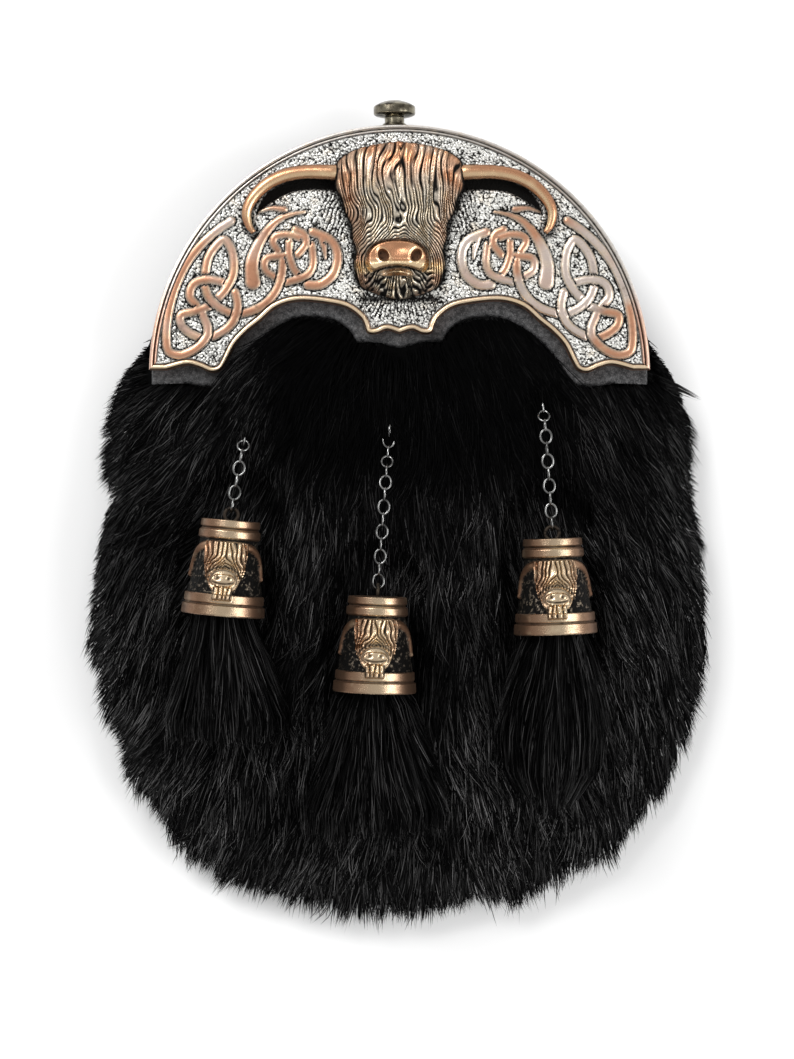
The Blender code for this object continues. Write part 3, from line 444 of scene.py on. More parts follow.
class Form:
    """A mesh in the making: points, faces and named values on the points."""

    def __init__(self) -> None:
        """Start with nothing."""
        self.chunks: list[tuple[Array, dict]] = []
        self.quads: list[Array] = []
        self.triangles: list[Array] = []
        self.count = 0

    def add(self, points: Array, quads: Array | None = None, triangles: Array | None = None,
            **values: Array | float) -> None:
        """Add points with the faces between them.

        Args:
            points: array of n by 3.
            quads: corner numbers within these points, m by 4.
            triangles: corner numbers within these points, m by 3.
            **values: a number or an array of n numbers for each name.
        """
        points = np.asarray(points, float).reshape(-1, 3)
        if quads is not None:
            self.quads.append(np.asarray(quads, int).reshape(-1, 4) + self.count)
        if triangles is not None:
            self.triangles.append(np.asarray(triangles, int).reshape(-1, 3) + self.count)
        spread = {name: np.broadcast_to(np.ravel(value).astype(float), len(points))
                  for name, value in values.items()}
        self.chunks.append((points, spread))
        self.count += len(points)

    def grid(self, points: Array, closed: bool = False, **values: Array | float) -> None:
        """Add a grid of points, rows by columns.

        Args:
            points: array of rows by columns by 3.
            closed: whether the last column joins the first.
            **values: values on the points.
        """
        rows, columns = points.shape[:2]
        number = np.arange(rows * columns).reshape(rows, columns)
        if closed:
            number = np.hstack((number, number[:, :1]))
        quads = np.stack((number[:-1, :-1], number[:-1, 1:], number[1:, 1:], number[1:, :-1]), -1)
        self.add(points, quads, **values)

    def slab(self, top: Array, base: float, **values: Array) -> None:
        """Add a grid whose first and last columns are points, closed down to a flat base.

        Args:
            top: array of rows by columns by 3.
            base: height of the flat underside.
            **values: values on the points of the top.
        """
        self.grid(top, **values)
        down = [0, 0, -1, -1]
        loop = top[down]
        loop[1:3, :, 2] = base
        self.grid(loop, **{name: np.reshape(value, top.shape[:2])[down]
                           for name, value in values.items()})

    def tube(self, line: Array, radii: Array, sides: int, closed: bool = False,
             normal: Array = UP, **values: float) -> None:
        """Add a round tube along a line.

        Args:
            line: array of n by 3.
            radii: one number or n numbers.
            sides: faces round the tube.
            closed: whether the line is a ring.
            normal: a direction that is never along the line.
            **values: values on the points.
        """
        radii = np.broadcast_to(radii, len(line))
        if closed:
            along = np.roll(line, -1, 0) - np.roll(line, 1, 0)
        else:
            along = np.gradient(line, axis=0)
        along = unit(along)
        side = unit(np.cross(along, normal))
        up = np.cross(side, along)
        turn = np.linspace(0.0, 2.0 * math.pi, sides, endpoint=False)
        rings = (line[:, None] + radii[:, None, None]
                 * (np.cos(turn)[None, :, None] * side[:, None]
                    + np.sin(turn)[None, :, None] * up[:, None]))
        if closed:
            rings = np.concatenate((rings, rings[:1]))
        self.grid(rings, closed=True, **values)
        if not closed:
            for ring, centre in ((rings[0], line[0]), (rings[-1], line[-1])):
                self.fan(ring, centre, **values)

    def fan(self, ring: Array, centre: Array, **values: float) -> None:
        """Close a ring of points with triangles to its centre.

        Args:
            ring: array of n by 3.
            centre: point in the middle.
            **values: values on the points.
        """
        count = len(ring)
        number = np.arange(count)
        triangles = np.stack((number, np.roll(number, -1), np.full(count, count)), -1)
        self.add(np.vstack((ring, centre)), None, triangles, **values)

    def piece(self, name: str, material: bpy.types.Material, slot: Slot,
              replaced: tuple[str, ...] = (), body: Body = Body.POUCH,
              weld: bool = True, sharp: float | None = None) -> None:
        """Make the object, put it on its body and hide the CAD nodes that it stands for.

        Args:
            name: name of the piece.
            material: its finish.
            slot: slot of the record that it takes its finish from; not used.
            replaced: CAD nodes that it stands for.
            body: body that carries it.
            weld: whether to join equal points and turn the faces outwards.
            sharp: angle in degrees above which an edge stays sharp.
        """
        mesh = bpy.data.meshes.new(name)
        points = np.vstack([chunk for chunk, _ in self.chunks])
        quads = np.vstack(self.quads) if self.quads else np.zeros((0, 4), int)
        triangles = np.vstack(self.triangles) if self.triangles else np.zeros((0, 3), int)
        corners = np.concatenate((quads.ravel(), triangles.ravel()))
        starts = np.concatenate((np.arange(0, quads.size, 4), np.arange(quads.size, len(corners), 3)))
        mesh.vertices.add(len(points))
        mesh.vertices.foreach_set("co", points.ravel())
        mesh.loops.add(len(corners))
        mesh.loops.foreach_set("vertex_index", corners)
        mesh.polygons.add(len(starts))
        mesh.polygons.foreach_set("loop_start", starts)
        mesh.update(calc_edges=True)
        for value_name in sorted({key for _, values in self.chunks for key in values}):
            column = np.concatenate([values.get(value_name, np.zeros(len(chunk)))
                                     for chunk, values in self.chunks])
            layer = mesh.attributes.new(value_name, "FLOAT", "POINT")
            layer.data.foreach_set("value", column.astype(np.float32))
        if weld:
            work = bmesh.new()
            work.from_mesh(mesh)
            bmesh.ops.remove_doubles(work, verts=work.verts, dist=WELD)
            bmesh.ops.recalc_face_normals(work, faces=work.faces)
            work.to_mesh(mesh)
            work.free()
        mesh.shade_smooth()
        if sharp is not None:
            mesh.set_sharp_from_angle(angle=math.radians(sharp))
        mesh.materials.append(material)
        item = link(name, mesh)
        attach(item, body.value)
        if replaced:
            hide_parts(*replaced)
        LOG.info("%s: %d faces", name, len(mesh.polygons))


def link(name: str, data: bpy.types.ID) -> bpy.types.Object:
    """Put new data into the scene.

    Args:
        name: name of the object.
        data: mesh, light or camera.

    Returns:
        The object.
    """
    item = bpy.data.objects.new(name, data)
    bpy.context.scene.collection.objects.link(item)
    return item


def read(table: tuple | Array, at: Array, column: int = 1) -> Array:
    """A column of a table, read between the rows by the first column."""
    rows = np.asarray(table, float)
    return np.interp(at, rows[:, 0], rows[:, column])


def unit(vectors: Array) -> Array:
    """The same vectors with a length of 1."""
    return vectors / np.maximum(np.linalg.norm(vectors, axis=-1, keepdims=True), 1e-12)


def smooth_line(points: object, steps: int = 6) -> Array:
    """Run a smooth curve through points.

    Args:
        points: rows of numbers of any width.
        steps: points on each span.

    Returns:
        The points of the curve.
    """
    rows = np.array(points, float)
    padded = np.vstack((2.0 * rows[0] - rows[1], rows, 2.0 * rows[-1] - rows[-2]))
    share = np.linspace(0.0, 1.0, steps, endpoint=False)[:, None]
    spans = []
    for index in range(len(rows) - 1):
        before, start, end, after = padded[index:index + 4]
        spans.append(0.5 * (2.0 * start + (end - before) * share
                            + (2.0 * before - 5.0 * start + 4.0 * end - after) * share ** 2
                            + (3.0 * start - before - 3.0 * end + after) * share ** 3))
    return np.vstack(spans + [rows[-1:]])


def line_distance(x: Array, y: Array, line: Array, reach: float = FAR) -> tuple[Array, Array]:
    """Measure points against a line.

    Args:
        x: across.
        y: up.
        line: array of n by 2.
        reach: points further from the line's box than this count as far away.

    Returns:
        The distance to the line and the way along it to the nearest point.
    """
    best, along = np.full(x.shape, FAR), np.zeros(x.shape)
    low, high = line.min(0) - reach, line.max(0) + reach
    near = (x > low[0]) & (x < high[0]) & (y > low[1]) & (y < high[1])
    px, py = x[near], y[near]
    close, way, walked = np.full(px.shape, FAR), np.zeros(px.shape), 0.0
    for start, end in zip(line[:-1], line[1:]):
        step = end - start
        length = max(float(np.hypot(*step)), 1e-9)
        share = np.clip(((px - start[0]) * step[0] + (py - start[1]) * step[1]) / length ** 2, 0, 1)
        gap = np.hypot(px - start[0] - share * step[0], py - start[1] - share * step[1])
        nearer = gap < close
        close = np.where(nearer, gap, close)
        way = np.where(nearer, walked + share * length, way)
        walked += length
    best[near], along[near] = close, way
    return best, along


def line_length(line: Array) -> float:
    """Length of a line."""
    return float(np.linalg.norm(np.diff(line, axis=0), axis=1).sum())


def ease(share: Array | float) -> Array:
    """Ease from 0 to 1 with flat ends."""
    share = np.clip(share, 0.0, 1.0)
    return share * share * (3.0 - 2.0 * share)


class Noise:
    """Smooth seeded noise in the plane, from 0 to 1."""

    SIDE = 97

    def __init__(self, seed: int, cell: float) -> None:
        """Draw the lattice."""
        self.table = np.random.default_rng(seed).random((self.SIDE, self.SIDE))
        self.cell = cell

    def __call__(self, x: Array, y: Array) -> Array:
        """Read the noise.

        Args:
            x: across in metres.
            y: up in metres.

        Returns:
            The noise at the points.
        """
        gx, gy = x / self.cell, y / self.cell
        ix, iy = np.floor(gx).astype(int), np.floor(gy).astype(int)
        fx, fy = ease(gx - ix), ease(gy - iy)
        low, high = (self.table[ix % self.SIDE, row % self.SIDE] * (1 - fx)
                     + self.table[(ix + 1) % self.SIDE, row % self.SIDE] * fx
                     for row in (iy, iy + 1))
        return low * (1 - fy) + high * fy


# Scalloped lower edges from the outer corner to the middle, as shares of the cantle's radius
CANTLE_LOWER_EDGE = (
    (0.93, 0.02), (0.85, 0.04), (0.80, 0.03), (0.75, 0.01), (0.71, 0.02),
    (0.685, 0.06), (0.655, 0.12), (0.61, 0.17), (0.555, 0.215), (0.49, 0.27), (0.40, 0.295),
    (0.28, 0.285), (0.205, 0.265), (0.15, 0.22), (0.13, 0.17), (0.09, 0.165), (0.05, 0.18),
    (0.0, 0.165),
)
BACKING_LOWER_EDGE = (
    (0.86, -0.03), (0.775, -0.045), (0.70, -0.035), (0.665, 0.0), (0.625, 0.07),
    (0.555, 0.145), (0.48, 0.20), (0.395, 0.235), (0.28, 0.23), (0.22, 0.20), (0.19, 0.17),
    (0.17, 0.135), (0.105, 0.135), (0.0, 0.11),
)
# Raised bands of the knotwork: shares of a band's width at both ends, then points across and up
KNOTWORK = (
    (1.0, 1.0, ((0.67, 0.615), (0.73, 0.575), (0.79, 0.52), (0.845, 0.45), (0.885, 0.37),
                (0.91, 0.295), (0.925, 0.22), (0.93, 0.145), (0.92, 0.095), (0.88, 0.08),
                (0.84, 0.09), (0.80, 0.115), (0.77, 0.15), (0.765, 0.19), (0.785, 0.24))),
    (1.0, 1.0, ((0.775, 0.405), (0.765, 0.46), (0.74, 0.505), (0.70, 0.54), (0.67, 0.50),
                (0.66, 0.445), (0.665, 0.395), (0.69, 0.345), (0.72, 0.31))),
    (1.0, 1.0, ((0.70, 0.37), (0.75, 0.38), (0.80, 0.375), (0.83, 0.35), (0.835, 0.31),
                (0.81, 0.28))),
    (1.0, 1.0, ((0.775, 0.35), (0.76, 0.31), (0.72, 0.27), (0.67, 0.245))),
    (1.0, 1.0, ((0.655, 0.33), (0.645, 0.275), (0.66, 0.22), (0.69, 0.185), (0.74, 0.155))),
    (1.0, 1.0, ((0.755, 0.275), (0.81, 0.255), (0.87, 0.24), (0.87, 0.20), (0.84, 0.17),
                (0.80, 0.15))),
    (1.0, 1.0, ((0.63, 0.245), (0.58, 0.26), (0.53, 0.29), (0.49, 0.34), (0.47, 0.40),
                (0.465, 0.455))),
    (0.4, 1.8, ((0.38, 0.65), (0.43, 0.64), (0.48, 0.62), (0.52, 0.585), (0.555, 0.535),
                (0.58, 0.48), (0.59, 0.43), (0.585, 0.37))),
    (0.9, 0.9, ((0.39, 0.545), (0.44, 0.56), (0.49, 0.555), (0.505, 0.53), (0.485, 0.495))),
    (0.9, 0.9, ((0.415, 0.58), (0.38, 0.56), (0.375, 0.52), (0.405, 0.48))),
    (0.9, 0.9, ((0.44, 0.53), (0.44, 0.48), (0.425, 0.43), (0.405, 0.40))),
    (0.9, 0.9, ((0.35, 0.52), (0.345, 0.44), (0.375, 0.395), (0.45, 0.37))),
    (0.9, 0.9, ((0.46, 0.475), (0.53, 0.465), (0.535, 0.42), (0.495, 0.39))),
    (1.1, 1.1, ((0.365, 0.36), (0.32, 0.36), (0.285, 0.38), (0.26, 0.41), (0.247, 0.46),
                (0.255, 0.51), (0.285, 0.545), (0.345, 0.57))),
    (1.0, 0.3, ((0.31, 0.55), (0.30, 0.50), (0.295, 0.465))),
    (0.8, 0.3, ((0.46, 0.66), (0.51, 0.665), (0.56, 0.65))),
)
HORN_POINTS = (
    (0.20, 0.80), (0.29, 0.805), (0.38, 0.805), (0.46, 0.79), (0.53, 0.755), (0.585, 0.70),
    (0.608, 0.645), (0.60, 0.595), (0.58, 0.565),
)
# Cow's head from its chin to its poll: share of the radius up, half width, relief
HEAD_ROWS = (
    (0.300, 0.0, 0.30), (0.315, 0.07, 0.35), (0.35, 0.15, 0.60), (0.39, 0.175, 0.75),
    (0.44, 0.18, 0.85), (0.50, 0.18, 0.90), (0.56, 0.19, 0.95), (0.62, 0.205, 0.98),
    (0.68, 0.23, 1.0), (0.74, 0.25, 1.0), (0.80, 0.255, 1.0), (0.85, 0.24, 0.90),
    (0.89, 0.19, 0.70), (0.915, 0.10, 0.45), (0.925, 0.0, 0.35),
)


@dataclass
class HalfMoon:
    """The half disc that the cantle and its backing share, seen from the front."""

    radius: float = 75.0 * MM
    centre_y: float = 40.5 * MM

    def moon(self, lower_edge: tuple, inset: float, columns: int,
             rows: int) -> tuple[Array, Array]:
        """Lay a grid between a scalloped lower edge and the arc.

        Args:
            lower_edge: shares of the radius from the corner to the middle.
            inset: how far the arc is drawn in.
            columns: points along the arc.
            rows: points from the lower edge to the arc.

        Returns:
            x and y of the grid; its first and last columns are the two corners.
        """
        radius = self.radius - inset
        edge = smooth_line(lower_edge) * self.radius
        start = math.atan2(edge[0, 1], edge[0, 0])
        corner = radius * np.array((math.cos(start), math.sin(start)))
        edge = np.vstack((corner, edge))[::-1]
        turn = np.linspace(start, math.pi - start, columns)
        x = -radius * np.cos(turn)
        high = radius * np.sin(turn)
        low = np.interp(np.abs(x), edge[:, 0], edge[:, 1])
        low[0], low[-1] = high[0], high[-1]
        share = np.linspace(0.0, 1.0, rows)
        share = share - 0.5 * np.sin(2.0 * math.pi * share) / (2.0 * math.pi)
        y = low[None] + share[:, None] * (high - low)[None]
        return np.broadcast_to(x, y.shape).copy(), y + self.centre_y

    def horn_line(self, inward: float = 0.0) -> Array:
        """Middle line of a horn on the right half, or the same drawn towards the centre."""
        line = smooth_line(HORN_POINTS) * self.radius
        return line * (1.0 - inward / np.linalg.norm(line, axis=1, keepdims=True))

    def head_rows(self, up: Array) -> tuple[Array, Array]:
        """Half width and relief of the cow's head at shares of the radius up."""
        rows = smooth_line(HEAD_ROWS, steps=8)
        return np.maximum(read(rows, up), 0.0) * self.radius, read(rows, up, 2)


@dataclass
class Cantle(HalfMoon):
    """The cast plate: rim, pebbled ground and knotwork, carved into one fine grid."""

    base_z: float = 21.6 * MM
    ground_z: float = 24.1 * MM
    knot_width: float = 2.6 * MM
    knot_height: float = 0.85 * MM
    grain_height: float = 0.22 * MM
    hollow_inward: float = 3.3 * MM
    hollow_radius: float = 2.1 * MM
    hollow_depth: float = 0.9 * MM
    columns: int = 570
    rows: int = 164

    # Height over the ground by distance from the edge, both in millimetres
    ARC_RIM = ((0.0, -0.5), (0.12, 0.35), (0.35, 0.85), (0.7, 1.0), (1.05, 0.85), (1.2, 0.1),
               (1.4, -0.15), (1.6, 0.45), (1.85, 0.6), (2.1, 0.4), (2.35, 0.0))
    LOWER_RIM = ((0.0, -0.4), (0.15, 0.4), (0.5, 0.9), (0.95, 1.0), (1.4, 0.85), (1.6, 0.2),
                 (1.75, -0.1), (2.05, 0.0))

    def rim(self, across: Array, up: Array) -> tuple[Array, Array, Array, Array]:
        """Rim of the plate.

        Args:
            across: distance from the middle line.
            up: height over the arc's centre.

        Returns:
            Height, and the shares of copper, black and painted highlight.
        """
        arc = (self.radius - np.hypot(across, up)) / MM
        edge = smooth_line(CANTLE_LOWER_EDGE) * self.radius
        corner = np.array((self.radius, edge[0, 1]))
        low = line_distance(across, up, np.vstack((corner, edge)))[0] / MM
        by_arc = arc < low
        height = np.where(by_arc, read(self.ARC_RIM, arc), read(self.LOWER_RIM, low))
        black = np.where(by_arc,
                         np.interp(arc, (1.1, 1.25, 1.4, 1.55, 2.0, 2.2, 2.4, 2.6),
                                   (0.0, 0.9, 0.9, 0.0, 0.0, 0.8, 0.8, 0.0)),
                         np.interp(low, (1.45, 1.65, 1.85, 2.1), (0.0, 0.95, 0.95, 0.0)))
        warm = 0.12 + 0.6 * ease((0.40 - up / self.radius) / 0.22)
        copper = np.where(by_arc, np.interp(arc, (2.2, 2.4), (1.0, 0.0)) * warm,
                          np.interp(low, (0.0, 0.5, 0.9, 1.3, 1.6, 1.8),
                                    (1.0, 0.6, 0.35, 0.6, 1.0, 0.0)))
        # Painted highlight along the crest of the lower rim.
        gold = np.where(by_arc, 0.0, np.interp(low, (0.1, 0.5, 1.3, 1.6), (0.0, 0.75, 0.75, 0.0)))
        return height * MM, copper, black, gold

    def knots(self, across: Array, up: Array) -> tuple[Array, Array]:
        """Knotwork of one half.

        Args:
            across: distance from the middle line.
            up: height over the arc's centre.

        Returns:
            How far the bands are raised, from 0 to 1, and the share of black beside them.
        """
        bodies, moats, ends = [], [], []
        for start_width, end_width, points in KNOTWORK:
            line = smooth_line(points) * self.radius
            length = line_length(line)
            gap, along = line_distance(across, up, line, reach=4.0 * MM)
            width = self.knot_width * (start_width + (end_width - start_width) * along / length)
            inside = width / 2.0 - gap
            bodies.append(np.interp(inside / MM, (-0.05, 0.12, 0.35, 0.75, 1.25),
                                    (0.0, 0.55, 0.80, 0.94, 1.0)))
            moats.append(np.interp(-inside / MM, (0.0, 0.08, 0.4, 0.55), (0.0, 1.0, 1.0, 0.0)))
            ends.append(np.minimum(along, length - along) < 1.5 * self.knot_width)
        raised, black = np.zeros(across.shape), np.zeros(across.shape)
        for one, body in enumerate(bodies):
            cut = np.zeros(across.shape)
            for other, moat in enumerate(moats):
                if other != one:
                    over = (bodies[other] + moat).clip(0, 1) * ~ends[other] * ends[one]
                    cut = np.maximum(cut, over * (moat > 0))
            raised = np.maximum(raised, body * (1.0 - cut))
        for moat in moats:
            black = np.maximum(black, moat)
        return raised, black * (1.0 - raised) * 0.95

    def strands(self, x: Array, across: Array, up: Array) -> tuple[Array, Array]:
        """Cast hair on the ground: under the chin and behind the cheeks.

        Args:
            x: place across with its sign.
            across: distance from the middle line.
            up: height over the arc's centre.

        Returns:
            How much hair there is, from 0 to 1, and its ridges, from -1 to 1.
        """
        share, wide = up / self.radius, across / self.radius
        wave = Noise(11, 2.2 * MM)(x, up)
        turn = np.arctan2(x, 0.45 * self.radius - up)
        chin = ease((0.345 - share) / 0.03) * ease((share - 0.205) / 0.05)
        chin *= ease((0.20 - wide) / 0.05)
        cheek = ease((wide - 0.20) / 0.03) * ease((0.335 - wide) / 0.05)
        cheek *= ease((share - 0.52) / 0.05) * ease((0.765 - share) / 0.03)
        slanted = (across * 0.93 + up * 0.37) / (0.62 * MM)
        ridges = np.where(chin > cheek, np.sin(turn * 84.0 + wave * 4.0),
                          np.sin(slanted * math.pi + wave * 4.0))
        return np.maximum(chin, cheek), ridges

    def carve(self, x: Array, y: Array) -> tuple[Array, dict[str, Array]]:
        """Work out the front of the plate.

        Args:
            x: across.
            y: up the pouch.

        Returns:
            Height over the ground, and the shares that the finish reads.
        """
        across, up = np.abs(x), y - self.centre_y
        rim_height, rim_copper, rim_black, rim_highlight = self.rim(across, up)
        raised, beside = self.knots(across, up)
        on_rim = (rim_copper > 0.0) | (rim_height > 0.05 * MM) | (rim_black > 0.3)
        raised, beside = raised * ~on_rim, beside * ~on_rim
        hair, ridges = self.strands(x, across, up)
        ground = (1.0 - raised) * ~on_rim
        grain = Noise(3, 0.52 * MM)(x, y)
        fine = Noise(4, 0.45 * MM)(x, y)
        height = rim_height + raised * self.knot_height
        height += ground * (1.0 - hair) * self.grain_height * (0.5 * grain + 0.5 * fine - 0.5)
        height += ground * hair * ridges * self.grain_height
        black = np.maximum(rim_black, beside)
        black = np.maximum(black, ground * (1.0 - hair) * np.interp(grain, (0.12, 0.3), (0.6, 0)))
        black = np.maximum(black, ground * hair * np.interp(ridges, (-0.6, 0.1), (0.9, 0)))
        # Painted shadow: the ground under each horn sinks into a hollow painted black, and painted
        # shade darkens the ground round the horns, beside the cheeks and under the chin.
        hollow_line = self.horn_line(self.hollow_inward)
        hollow, along = line_distance(across, up, hollow_line)
        share = along / line_length(hollow_line)
        reach = self.hollow_radius * np.interp(share, (0.0, 0.1, 0.62, 0.8), (0.6, 1.0, 0.8, 0.0))
        under = ease((reach - hollow) / (0.5 * MM) + 0.5) * (reach > 0)
        horn_gap = line_distance(across, up, self.horn_line())[0]
        shade = np.interp(horn_gap / MM, (1.6, 2.7), (0.75, 0.0))
        cheek_gap = (across - self.head_rows(up / self.radius)[0]) / MM
        inside_head = (up / self.radius > 0.31) & (up / self.radius < 0.92)
        shade = np.maximum(shade, np.interp(cheek_gap, (0.2, 1.8), (0.9, 0.0)) * inside_head)
        under_chin = ease((0.325 - up / self.radius) / 0.02) * ease((up / self.radius - 0.275) / 0.03)
        shade = np.maximum(shade, 0.95 * under_chin * ease((13.5 * MM - across) / (3.0 * MM)))
        height -= under * self.hollow_depth * ground
        black = np.maximum(black, under * ground)
        black = np.maximum(black, shade * ground)
        silvered = np.interp(Noise(12, 11.0 * MM)(x, y), (0.20, 0.50), (0.35, 1.0))
        dusk = 0.42 * np.interp(Noise(13, 6.0 * MM)(x, y), (0.45, 0.85), (0.0, 1.0)) * raised
        # The painted highlight share lights the rounded edges of the knot bands and the crest of the
        # lower rim.
        shares = {"copper": np.maximum(rim_copper, raised * silvered),
                  "black": np.clip(np.maximum(black, dusk), 0.0, 1.0),
                  "gold": np.maximum(rim_highlight, 0.5 * raised * (raised < 0.85)),
                  "smooth": np.maximum(on_rim, np.clip(2.5 * raised, 0.0, 1.0))}
        return height, shares

    def build(self, metal: bpy.types.Material) -> None:
        """Make the plate.

        Args:
            metal: the finish.
        """
        x, y = self.moon(CANTLE_LOWER_EDGE, 0.0, self.columns, self.rows)
        height, shares = self.carve(x, y)
        form = Form()
        form.slab(np.stack((x, y, self.ground_z + height), -1), self.base_z, **shares)
        form.piece("cantle_casting", metal, Slot.PEWTER, ("cantle",), sharp=70.0)


@dataclass
class Backing(HalfMoon):
    """The leather layer that shows below the cantle, with a notch for the catch."""

    base_z: float = 17.8 * MM
    top_z: float = 20.9 * MM
    inset: float = 0.5 * MM
    notch_x: float = -1.5 * MM
    notch_half_width: float = 4.55 * MM
    notch_y: float = 105.3 * MM
    columns: int = 420
    rows: int = 36

    def build(self, leather: bpy.types.Material) -> None:
        """Make the layer with softly rounded cut edges.

        Args:
            leather: the finish.
        """
        x, y = self.moon(BACKING_LOWER_EDGE, self.inset, self.columns, self.rows)
        in_notch = np.abs(x[0] - self.notch_x) < self.notch_half_width
        high = np.where(in_notch, self.notch_y, y[-1])
        share = (y - y[0]) / np.maximum(y[-1] - y[0], 1e-9)
        y = y[0] + share * (high - y[0])
        edge = smooth_line(BACKING_LOWER_EDGE) * self.radius
        low_gap = line_distance(np.abs(x), y - self.centre_y, edge)[0]
        arc_gap = self.radius - self.inset - np.hypot(x, y - self.centre_y)
        gap = np.minimum(low_gap, arc_gap) / MM
        swell = Noise(8, 7.0 * MM)(x, y)
        drop = np.interp(gap, (0.0, 0.12, 0.35, 0.8), (0.75, 0.35, 0.1, 0.0)) - 0.15 * swell + 0.15
        form = Form()
        form.slab(np.stack((x, y, self.top_z - drop * MM), -1), self.base_z)
        form.piece("cantle_leather", leather, Slot.LEATHER, ("cantle_backing",), sharp=60.0)


@dataclass
class CowHead(HalfMoon):
    """The horned head: a forelock of strands, a smooth muzzle, a beard and two horns."""

    floor_z: float = 24.4 * MM
    edge: float = 1.5 * MM
    relief: float = 5.2 * MM
    muzzle_x: float = -0.7 * MM
    muzzle_y: float = 75.2 * MM
    muzzle_half_width: float = 9.8 * MM
    muzzle_half_length: float = 5.6 * MM
    muzzle_height: float = 7.6 * MM
    nostril_x: float = 4.85 * MM
    nostril_shift: float = 0.8 * MM
    nostril_radius: float = 1.5 * MM
    horn_radius: float = 2.05 * MM
    horn_root_radius: float = 2.4 * MM
    horn_sink: float = 1.3 * MM
    horn_tip_radius: float = 0.7 * MM
    hair_height: float = 1.15 * MM
    parting: float = 7.6 * MM
    parting_x: float = 0.4 * MM
    lean: float = 1.6 * MM
    beard_half_width: float = 11.5 * MM
    chin_drop: float = 1.6 * MM
    cuff_height: float = 2.3 * MM
    columns: int = 205
    rows: int = 248

    def hair(self, x: Array, up: Array, half: Array) -> Array:
        """Strands that fall from the poll, part over the muzzle and join in the beard.

        Args:
            x: across.
            up: share of the radius over the arc's centre.
            half: half width of the head there.

        Returns:
            Height of the strands, from 0 to 1.
        """
        y = up * self.radius
        half = np.where(up > 0.78, self.head_rows(np.full(up.shape, 0.78))[0], half)
        part = self.parting * ease((0.62 - up) / 0.17)
        lean = self.lean * np.sin((up - 0.64) / 0.28 * math.pi) * ease((up - 0.64) / 0.05)
        jitter = Noise(22, 2.0 * MM)(x, y * 0.22) - 0.5
        middle = np.hypot(x - self.parting_x, 1.6 * MM * ease((0.70 - up) / 0.1))
        flow = (middle - part) / np.maximum(half - 0.70 * part, 2.0 * MM)
        inside = ease((part - middle) / (2.5 * MM) + 0.3) * ease((0.60 - up) / 0.08)
        flow = flow + 0.10 * inside * jitter
        flow = flow + np.sign(x) * lean / (18.0 * MM) + 0.13 * (x > 0)
        flow = flow * (1.0 - 0.45 * ease((0.70 - up) / 0.22))
        sway = 0.7 * Noise(21, 5.0 * MM)(x, y * 0.6) - 0.35
        locks = ease((up - 0.66) / 0.14)
        coarse = np.abs(np.sin((flow * 8.0 + sway * 1.8 + jitter * 0.9) * math.pi)) ** 0.7
        fine = np.abs(np.sin((flow * 20.0 + sway * 2.4 + jitter * 2.0) * math.pi)) ** 0.9
        fine = fine * (0.70 + 0.6 * Noise(24, 0.9 * MM)(x, y * 0.3))
        beard_turn = np.arctan2(x - self.muzzle_x, self.muzzle_y - self.centre_y - y)
        beard = np.abs(np.sin(beard_turn * 24.0 + jitter * 8.0))
        beard = beard * (0.35 + Noise(23, 0.9 * MM)(x, y))
        part_fine = 0.78 - 0.42 * locks
        strands = (1.0 - part_fine) * coarse + part_fine * fine
        low = ease((0.435 - up) / 0.03) * ease((self.beard_half_width - np.abs(x)) / (2.5 * MM))
        return strands * (1.0 - low) + beard * low

    def face(self, x: Array, y: Array) -> tuple[Array, Array, Array, Array]:
        """The muzzle with its nostrils, lips and mouth.

        Args:
            x: across.
            y: up the pouch.

        Returns:
            Height of the muzzle, how much a point belongs to it, and its shares of black
            and painted highlight.
        """
        dx, dy = (x - self.muzzle_x) / MM, (y - self.muzzle_y) / MM
        wide, long = self.muzzle_half_width / MM, self.muzzle_half_length / MM
        sag = dy + 1.0 * np.clip(np.abs(dx) / wide, 0.0, 1.0) ** 2
        roundness = 1.0 - np.abs(dx / wide) ** 3.0 - np.abs(sag / long) ** 2.4
        body = ease(roundness * 2.2)
        lip = -5.0 + 2.5 * (1.0 - np.clip((dx / 8.5) ** 2, 0.0, 1.0))
        above = ease((dy - lip) / 0.5 + 0.5)
        roll = (-1.3 - lip) / 2.0
        lip_roll = np.exp(-np.abs((dy - lip - roll) / (roll + 0.25)) ** 3.0)
        pout = np.exp(-(dx / 3.6) ** 2 - ((dy - lip + 1.7) / 0.85) ** 2)
        bridge = np.exp(-(dx / 3.2) ** 2 - ((dy - 2.6) / 1.6) ** 2)
        holes, rings = np.zeros(x.shape), np.zeros(x.shape)
        for side in (-1.0, 1.0):
            aside = dx - (self.nostril_shift + side * self.nostril_x) / MM
            hole = np.hypot(aside * 1.05, (dy - 0.4 - 0.25 * side * aside) * 0.95)
            hole = hole * MM / self.nostril_radius
            holes = np.maximum(holes, 1.0 - ease((hole - 0.75) / 0.5))
            rings = np.maximum(rings, np.exp(-((hole - 1.35) / 0.2) ** 2))
        top = self.muzzle_height - self.edge
        height = top * body * (0.72 + 0.16 * lip_roll - 0.10 * bridge + 0.12) * above
        height += 0.62 * top * pout * (1.0 - above) + (0.3 * rings - 1.6 * holes) * MM * above
        mouth = np.exp(-((dy - lip + 0.35) / 0.42) ** 2) * ease((8.6 - np.abs(dx)) / 1.0)
        rim = np.exp(-((roundness - 0.04) / 0.10) ** 2)
        black = np.maximum.reduce((0.85 * holes, mouth, 0.8 * rim))
        # Painted highlight on the rolled upper lip, the pout and the rims of the nostrils.
        gold = np.clip(0.9 * lip_roll * above + 0.8 * pout + 0.4 * rings, 0.0, 1.0)
        return height, np.maximum(body * above, pout * (1 - above)), black, gold

